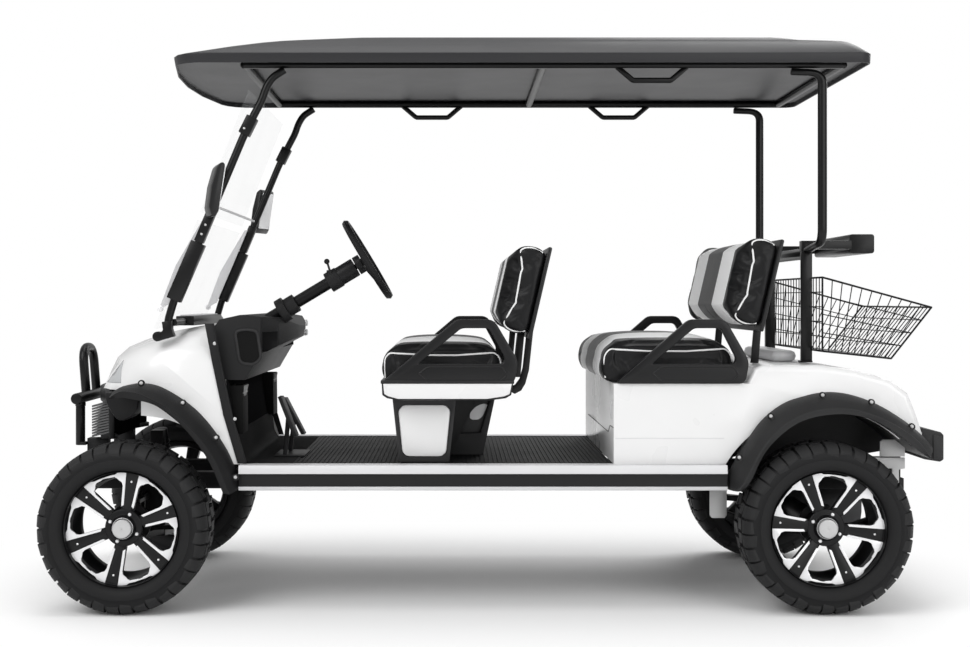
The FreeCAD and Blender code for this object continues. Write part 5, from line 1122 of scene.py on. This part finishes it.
def posts():
    """The front posts with their feet, grips, clamps and the wiper's cross housing."""
    pieces, edges = [], []
    for sign in (1, -1):
        x = sign * POST_X
        pieces.append(tube("post", eased([(x, y, z) for y, z in POST_LINE], 0.06, 5), 0.0138, 20))
        for z0, z1, half, thick in ((1.07, 1.268, 0.0255, 0.0175), (1.643, 1.703, 0.02, 0.0195),
                                    (1.271, 1.375, 0.0165, 0.0155)):
            pieces.append(sleeve("grip", x, z0, z1, half, thick))
        foot = [(-1.151, 0.995), (-1.147, 0.966), (-1.168, 0.946), (-1.172, 0.926), (-1.108, 0.944), (-1.117, 0.97),
                (-1.116, 0.998)]
        pieces.append(sheet("foot", x - 0.019, foot, 0.038))
        pieces.append(tube("hinge", [(x - 0.02, -1.166, 0.944), (x + 0.021, -1.166, 0.944)], 0.017, 20))
        edge = [(-1.172, 1.033), (-1.163, 1.04), (-1.128, 1.06), (-1.038, 1.27), (-1.0, 1.36), (-1.012, 1.36),
                (-1.112, 1.19)]
        edges.append(sheet("edge", sign * 0.466, edge, sign * 0.006))
    pieces.append(tube("cross_bar", [(-0.485, -1.116, 0.992), (0.485, -1.116, 0.992)], 0.0125, 16))
    pieces.append(cuboid("wiper_box", (-0.3, -1.145, 0.978), (0.3, -1.08, 1.012)))
    dress(joined(pieces, "post_tubes"), "black_tube", bevel=0.0025, angle=35, replaces=("front_posts",))
    dress(joined(edges, "screen_edges"), "clear_screen", look="strip_grey")
    pad = cuboid("wiper_cover", (-0.24, -1.142, 1.0118), (0.24, -1.086, 1.0165))
    dress(pad, "black_tube", bevel=0.002, look="strip_grey")
    strip = cuboid("screen_joint", (-0.468, -0.977, 1.393), (0.468, -0.97, 1.401))
    dress(strip, "clear_screen", bevel=0.001, look="strip_grey")
    spots = [((sign * 0.5155, post_at(z).y, z), (sign, 0, 0)) for sign in (1, -1) for z in (1.298, 1.33)]
    spots += [((sign * 0.5195, post_at(1.663).y - 0.006, 1.663), (sign, 0, 0)) for sign in (1, -1)]
    bolts("post_bolts", spots, 0.0042, 0.003)
    clips = [((sign * 0.4725, -1.165, 1.04), (sign, 0, 0)) for sign in (1, -1)]
    bolts("screen_clips", clips, 0.011, 0.004, "clear_screen", "bright_alloy")


def mirrors():
    """Slim mirror housings turned towards the driver, with pale glass, on short arms."""
    housings, glasses = [], []
    side = [(-0.012, 0.0), (-0.024, 0.03), (-0.026, 0.1), (-0.018, 0.17), (-0.004, 0.186), (0.008, 0.182),
            (0.011, 0.02), (0.004, 0.0)]
    for sign in (1, -1):
        turn, lean = Matrix.Rotation(math.radians(sign * 18), 4, "Z"), Matrix.Rotation(math.radians(-9), 4, "X")
        place = Matrix.Translation((sign * 0.535, -0.982, 1.352)) @ turn @ lean
        housings.append(moved(sheet("housing", 0, side, sign * 0.118), place))
        housings.append(tube("arm", [(sign * 0.505, post_at(1.41).y, 1.41), (sign * 0.57, -0.98, 1.41)], 0.007, 14))
        x0, x1 = sorted((sign * 0.01, sign * 0.108))
        glasses.append(moved(cuboid("glass", (x0, 0.0085, 0.022), (x1, 0.0125, 0.172)), place))
    dress(joined(housings, "mirror_housings"), "gloss_black", bevel=0.009, angle=30, replaces=("mirrors",))
    dress(joined(glasses, "mirror_glass"), "gloss_black", bevel=0.0008, look="bright_alloy")


def struts():
    """The rear struts: flattened tube from under the roof rail, bent inwards to thicker posts on the deck."""
    low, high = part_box("rear_struts")
    y, deck, post_x = (low.y + high.y) / 2, 0.8453, 0.292
    pieces = []
    for sign in (1, -1):
        x, inner = sign * POST_X, sign * post_x
        line = [(x, y - 0.085, high.z - 0.012), (x, y, high.z - 0.016), (x, y, 1.27), (inner, y, 1.25),
                (inner, y, 1.2)]
        pipe = tube("strut", eased(line, 0.05, 8), 0.0125, 20)
        for v in pipe.data.vertices:
            v.co.y = y + (v.co.y - y) * 1.28
        pieces += [pipe, cuboid("post", (inner - 0.0125, y - 0.023, deck), (inner + 0.0125, y + 0.0155, 1.245)),
                   cuboid("base", (inner - 0.02, y - 0.03, deck), (inner + 0.02, y + 0.0157, 0.852))]
    dress(joined(pieces, "strut_tubes"), "black_tube", bevel=0.004, angle=40, replaces=("rear_struts",))


def wire_grid(a, b, c, d, along, up):
    """Points and edges of a grid over the patch a-b-c-d, without its outer edge."""
    a, b, c, d = (Vector(p) for p in (a, b, c, d))
    lines = [(a.lerp(b, k / along), d.lerp(c, k / along)) for k in range(1, along)]
    return lines + [(a.lerp(d, k / up), b.lerp(c, k / up)) for k in range(1, up)]


def wires(name, lines, radius):
    """Round wires along straight lines."""
    verts = [p for line in lines for p in line]
    obj = new_object(name, verts, [], [(2 * k, 2 * k + 1) for k in range(len(lines))])
    return repeated(obj, WIRES, "basket_wire", Radius=radius)


def basket():
    """The basket of fine round wires on heavier rims."""
    low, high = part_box("basket")
    r, x = 0.0035, high.x - 0.005
    y0, depth, z0, rise = low.y + 0.005, high.y - low.y - 0.01, low.z + 0.005, high.z - low.z - 0.01
    side = [(0.0, 0.09), (0.0, 1.0), (1.0, 0.63), (0.63, 0.0)]
    left = [Vector((x, y0 + depth * a, z0 + rise * b)) for a, b in side]
    right = [Vector((-p.x, p.y, p.z)) for p in left]
    rims, fine = [], []
    for a, b, c, d in zip(left, left[1:] + left[:1], right, right[1:] + right[:1]):
        rims += [(a, b), (c, d), (a, c)]
    for corners in (left, right):
        fine += wire_grid(corners[0], corners[3], corners[2], corners[1], 11, 4)
    for k, count in ((0, 5), (2, 4), (3, 6)):
        after = (k + 1) % 4
        fine += wire_grid(left[k], right[k], right[after], left[after], 20, count)
    dress(joined([wires("rims", rims, r), wires("fine", fine, 0.0019)], "basket_wires"), "basket_wire", angle=60,
          replaces=("basket",))


def underneath():
    """Bright brackets at the leaf springs' ends and the coils round the front shocks."""
    plates = []
    for sign in (1, -1):
        for outline in (
                ((1.363, 0.517), (1.363, 0.57), (1.373, 0.577), (1.437, 0.577), (1.451, 0.552), (1.451, 0.517)),
                ((1.331, 0.5135), (1.451, 0.5135), (1.451, 0.475), (1.43, 0.471), (1.43, 0.408), (1.406, 0.408),
                 (1.406, 0.475), (1.36, 0.475)),
                ((0.762, 0.412), (0.822, 0.412), (0.822, 0.31), (0.814, 0.3), (0.77, 0.3), (0.762, 0.31))):
            plates.append(sheet("bracket", sign * 0.4005, outline, sign * 0.007))
    dress(joined(plates, "spring_brackets"), "bare_steel", bevel=0.001)
    coils = []
    for sign in (1, -1):
        foot, head = Vector((sign * 0.318, FRONT - 0.023, 0.227)), Vector((sign * 0.25, FRONT - 0.046, 0.555))
        way = (head - foot).normalized()
        side = way.cross(Vector((0, 1, 0))).normalized()
        up = way.cross(side)
        turns, steps, line = 9, 14, []
        for k in range(turns * steps + 1):
            a, share = 2 * math.pi * k / steps, 0.24 + 0.62 * k / (turns * steps)
            line.append(foot + (head - foot) * share + (side * math.cos(a) + up * math.sin(a)) * 0.0285)
        coils.append(tube("coil", line, 0.0042, 8))
    dress(joined(coils, "shock_coils"), "black_steel", angle=60)


def rear_bumper():
    """The rear bumper: a moulded bar across the cart with a recessed end panel and turned-in ends."""
    half = 0.5
    side = [(1.478, 0.628), (1.546, 0.612), (1.556, 0.602), (1.556, 0.517), (1.544, 0.509), (1.487, 0.518),
            (1.478, 0.53)]
    end = [(1.518, 0.605), (1.551, 0.597), (1.551, 0.519), (1.518, 0.52)]
    bar = sheet("bar", -half, side, 2 * half)
    caps = [sheet("cap", sign * (half - 0.0005), end, sign * 0.006) for sign in (1, -1)]
    dress(joined([bar] + caps, "rear_bumper_bar"), "black_moulding", bevel=0.005, replaces=("rear_bumper",))


def rear_details():
    """The seat box's latch, a grey line of painted shade along its character line, its panel seam, and the deck's
    hatch.
    """
    # The character line is a thin grey tube on the white body: painted shade along the crease.
    lines = [tube("line", [(sign * 0.5195, 0.415, 0.5925), (sign * 0.5195, 0.79, 0.5925)], 0.0016, 8)
             for sign in (1, -1)]
    dress(joined(lines, "body_line"), "white_body", look="strip_grey")
    seam = tube("seam", eased([(0.512, 0.4095, 0.628), (0.4, 0.4095, 0.628), (0.36, 0.4095, 0.6), (0.2, 0.4095, 0.6),
                               (-0.4, 0.4095, 0.6)], 0.02, 3), 0.0014, 8)
    dress(seam, "white_body", look="grey_moulding")
    latch = [cuboid("plate", (0.44, 0.4065, 0.655), (0.478, 0.4099, 0.72)),
             cuboid("hook", (0.45, 0.4035, 0.668), (0.468, 0.4066, 0.7))]
    dress(joined(latch, "box_latch"), "white_body", bevel=0.001, look="strip_grey")
    hatch = cuboid("deck_hatch", (-0.25, 1.015, 0.8452), (0.25, 1.108, 0.886))
    dress(hatch, "white_body", bevel=0.018, look="strip_grey", angle=60)


def column_fittings():
    """The column's clamp and collars, and the lever with its ball."""
    centre, way = Vector((0.28, -0.455, 1.216)), Vector((0, 0.857, 0.515))
    pieces = [tube("collar", [centre - way * near, centre - way * far], r, 28)
              for near, far, r in ((0.118, 0.165, 0.0375), (0.3, 0.34, 0.034), (0.34, 0.37, 0.045))]
    pieces.append(cuboid("clamp_ear", (0.262, -0.602, 1.145), (0.298, -0.575, 1.178)))
    stem = centre - way * 0.15 + Vector((0.03, 0, 0.02))
    pieces.append(tube("stem", [stem, stem + Vector((0, -0.014, 0.045))], 0.004, 10))
    ball = revolved("ball", [(0.01 * math.cos(a), 0.0001 + 0.01 * math.sin(a)) for a in
                             (math.pi * k / 10 for k in range(11))], 20)
    pieces.append(moved(ball, Matrix.Translation(stem + Vector((0, -0.016, 0.05)))))
    dress(joined(pieces, "column_fittings"), "black_steel", bevel=0.002, look="dash_moulding", angle=40)


def dash_knobs():
    """Three bright knobs on the dash's face."""
    profile = [(0, 0.0001), (0, 0.014), (0.018, 0.0125), (0.02, 0.009), (0.02, 0.0001)]
    turn = Matrix.Rotation(math.radians(90), 4, "Z")
    knobs = [moved(revolved("knob", profile, 24), Matrix.Translation((x, -0.752, z)) @ turn)
             for x, z in ((-0.3, 0.978), (-0.235, 0.978), (-0.3, 0.94))]
    dress(joined(knobs, "dash_knobs"), "dash_moulding", look="bright_alloy", angle=40)


def cab_linings():
    """Dark linings on the front body's inner sides, and the dash cubby's rim round a flat dark plate that paints the
    shade of its hollow.
    """
    wall = [(-1.0, 0.51), (-0.892, 0.51), (-0.941, 0.672), (-0.981, 0.86), (-0.985, 0.9), (-1.0, 0.9)]
    walls = [sheet("lining", sign * 0.494, wall, sign * 0.008) for sign in (1, -1)]
    dress(joined(walls, "cab_linings"), "dash_moulding", look="dull_black")
    cubby = [Vector((0.4862, y, z)) for y, z in (
        (-0.903, 0.962), (-0.86, 0.968), (-0.826, 0.962), (-0.812, 0.868), (-0.835, 0.846), (-0.885, 0.85))]
    start = (cubby[0] + cubby[-1]) / 2
    line = eased([start] + cubby + [start], 0.02, 4)[:-1]
    dress(joined([tube("rim", line, 0.0055, 10, closed=True)], "cubby_rim"), "dash_moulding", look="black_moulding")
    # A flat dark plate with no real hole: painted shade for the inside of the cubby.
    dress(joined([prism("inset", line, 0.0012)], "cubby_inset"), "dash_moulding", look="net_pocket")


def nets():
    """Crossed and level cords on both side pockets."""
    low_z, high_z, low_y, step = 0.61, 0.77, -0.8955, 0.022
    cords = []
    for sign in (1, -1):
        for k in range(5):
            x0, x1 = sign * (0.368 + step * k), sign * (0.368 + step * (4 - k))
            cords.append((Vector((x0, -0.8745, high_z)), Vector((x1, low_y, low_z))))
        for k in range(4):
            z = 0.64 + 0.035 * k
            y = low_y + 0.021 * (z - low_z) / 0.16
            cords.append((Vector((sign * 0.36, y, z)), Vector((sign * 0.464, y, z))))
    dress(wires("nets", cords, 0.0014), "net_pocket", look="net_cord", angle=60)


wheels()
seats()
front_end()
sills()
mat()
posts()
mirrors()
struts()
basket()
underneath()
rear_bumper()
rear_details()
column_fittings()
dash_knobs()
cab_linings()
nets()
dressed("kick_panel", 0.001, look="dull_black")
plain_nodes()


# Studio: a flat pale floor that turns plain white to the camera further out, a white world behind, soft lamps and the
# camera

def white_beyond(paint):
    """The floor keeps the cart's shadow near it, and is plain white to the camera further out."""
    tree = paint.node_tree
    shader, out = tree.nodes["Principled BSDF"], tree.nodes["Material Output"]
    place, seen = add_node(tree, "ShaderNodeTexCoord"), add_node(tree, "ShaderNodeLightPath")
    away, past, none, scale, reach = (add_node(tree, "ShaderNodeVectorMath", operation=kind) for kind in (
        "ABSOLUTE", "SUBTRACT", "MAXIMUM", "MULTIPLY", "LENGTH"))
    for step, value in ((past, (0.55, 1.35, 0)), (none, (0, 0, 0)), (scale, (1.15, 1.3, 0))):
        step.inputs[1].default_value = value
    fade = add_node(tree, "ShaderNodeMapRange", interpolation_type="SMOOTHSTEP")
    both_ways = add_node(tree, "ShaderNodeMath", operation="MULTIPLY")
    glow, mix = add_node(tree, "ShaderNodeEmission"), add_node(tree, "ShaderNodeMixShader")
    link(tree, (place, "Object", away, 0), (away, 0, past, 0), (past, 0, none, 0), (none, 0, scale, 0),
         (scale, 0, reach, 0), (reach, "Value", fade, "Value"), (fade, "Result", both_ways, 0),
         (seen, "Is Camera Ray", both_ways, 1), (both_ways, 0, mix, "Fac"), (shader, 0, mix, 1), (glow, 0, mix, 2),
         (mix, 0, out, "Surface"))


def studio():
    reach = 14
    floor = new_object("floor", [(-reach, -reach, 0), (reach, -reach, 0), (reach, reach, 0), (-reach, reach, 0)],
                       [(0, 1, 2, 3)])
    paint = bpy.data.materials.new("studio_floor")
    paint.use_nodes = True
    shader = paint.node_tree.nodes["Principled BSDF"]
    for socket, value in (("Base Color", (0.95, 0.95, 0.95, 1)), ("Roughness", 0.9), ("Specular IOR Level", 0.1)):
        shader.inputs[socket].default_value = value
    white_beyond(paint)
    floor.data.materials.append(paint)
    world = scene.world or bpy.data.worlds.new("studio")
    scene.world = world
    world.use_nodes = True
    tree = world.node_tree
    tree.nodes.clear()
    lit = add_node(tree, "ShaderNodeBackground", {"Color": (0.8, 0.8, 0.8, 1), "Strength": 0.75})
    seen = add_node(tree, "ShaderNodeBackground", {"Color": (1, 1, 1, 1), "Strength": 1.0})
    path, mix, out = (add_node(tree, "ShaderNode" + kind) for kind in ("LightPath", "MixShader", "OutputWorld"))
    link(tree, (path, "Is Camera Ray", mix, "Fac"), (lit, 0, mix, 1), (seen, 0, mix, 2), (mix, 0, out, "Surface"))
    for name, place, power, size in (("key", (4.5, -4.0, 5.0), 205, 4.0), ("fill", (5.5, 4.0, 2.6), 120, 4.0),
                                     ("top", (0.0, 0.0, 6.5), 150, 5.0), ("rim", (-4.0, 3.0, 4.0), 120, 4.0)):
        lamp = bpy.data.lights.new(name, "AREA")
        lamp.energy, lamp.size = power, size
        obj = bpy.data.objects.new(name, lamp)
        obj.location = place
        obj.rotation_euler = (Vector((0, 0, 0.6)) - Vector(place)).to_track_quat("-Z", "Y").to_euler()
        scene.collection.objects.link(obj)


def camera():
    data = bpy.data.cameras.new("camera")
    data.sensor_width = SENSOR_WIDTH
    data.lens = FOCAL_PIXELS / IMAGE_WIDTH * SENSOR_WIDTH
    data.shift_x = (IMAGE_WIDTH / 2 - PRINCIPAL_PIXEL[0]) / IMAGE_WIDTH
    data.shift_y = (PRINCIPAL_PIXEL[1] - IMAGE_HEIGHT / 2) / IMAGE_WIDTH
    data.clip_end = 200
    obj = bpy.data.objects.new("camera", data)
    obj.location = CAMERA_PLACE
    obj.rotation_euler = (math.radians(90), 0, math.radians(90))
    scene.collection.objects.link(obj)
    scene.camera = obj


studio()
camera()
scene.view_settings.view_transform = "Standard"
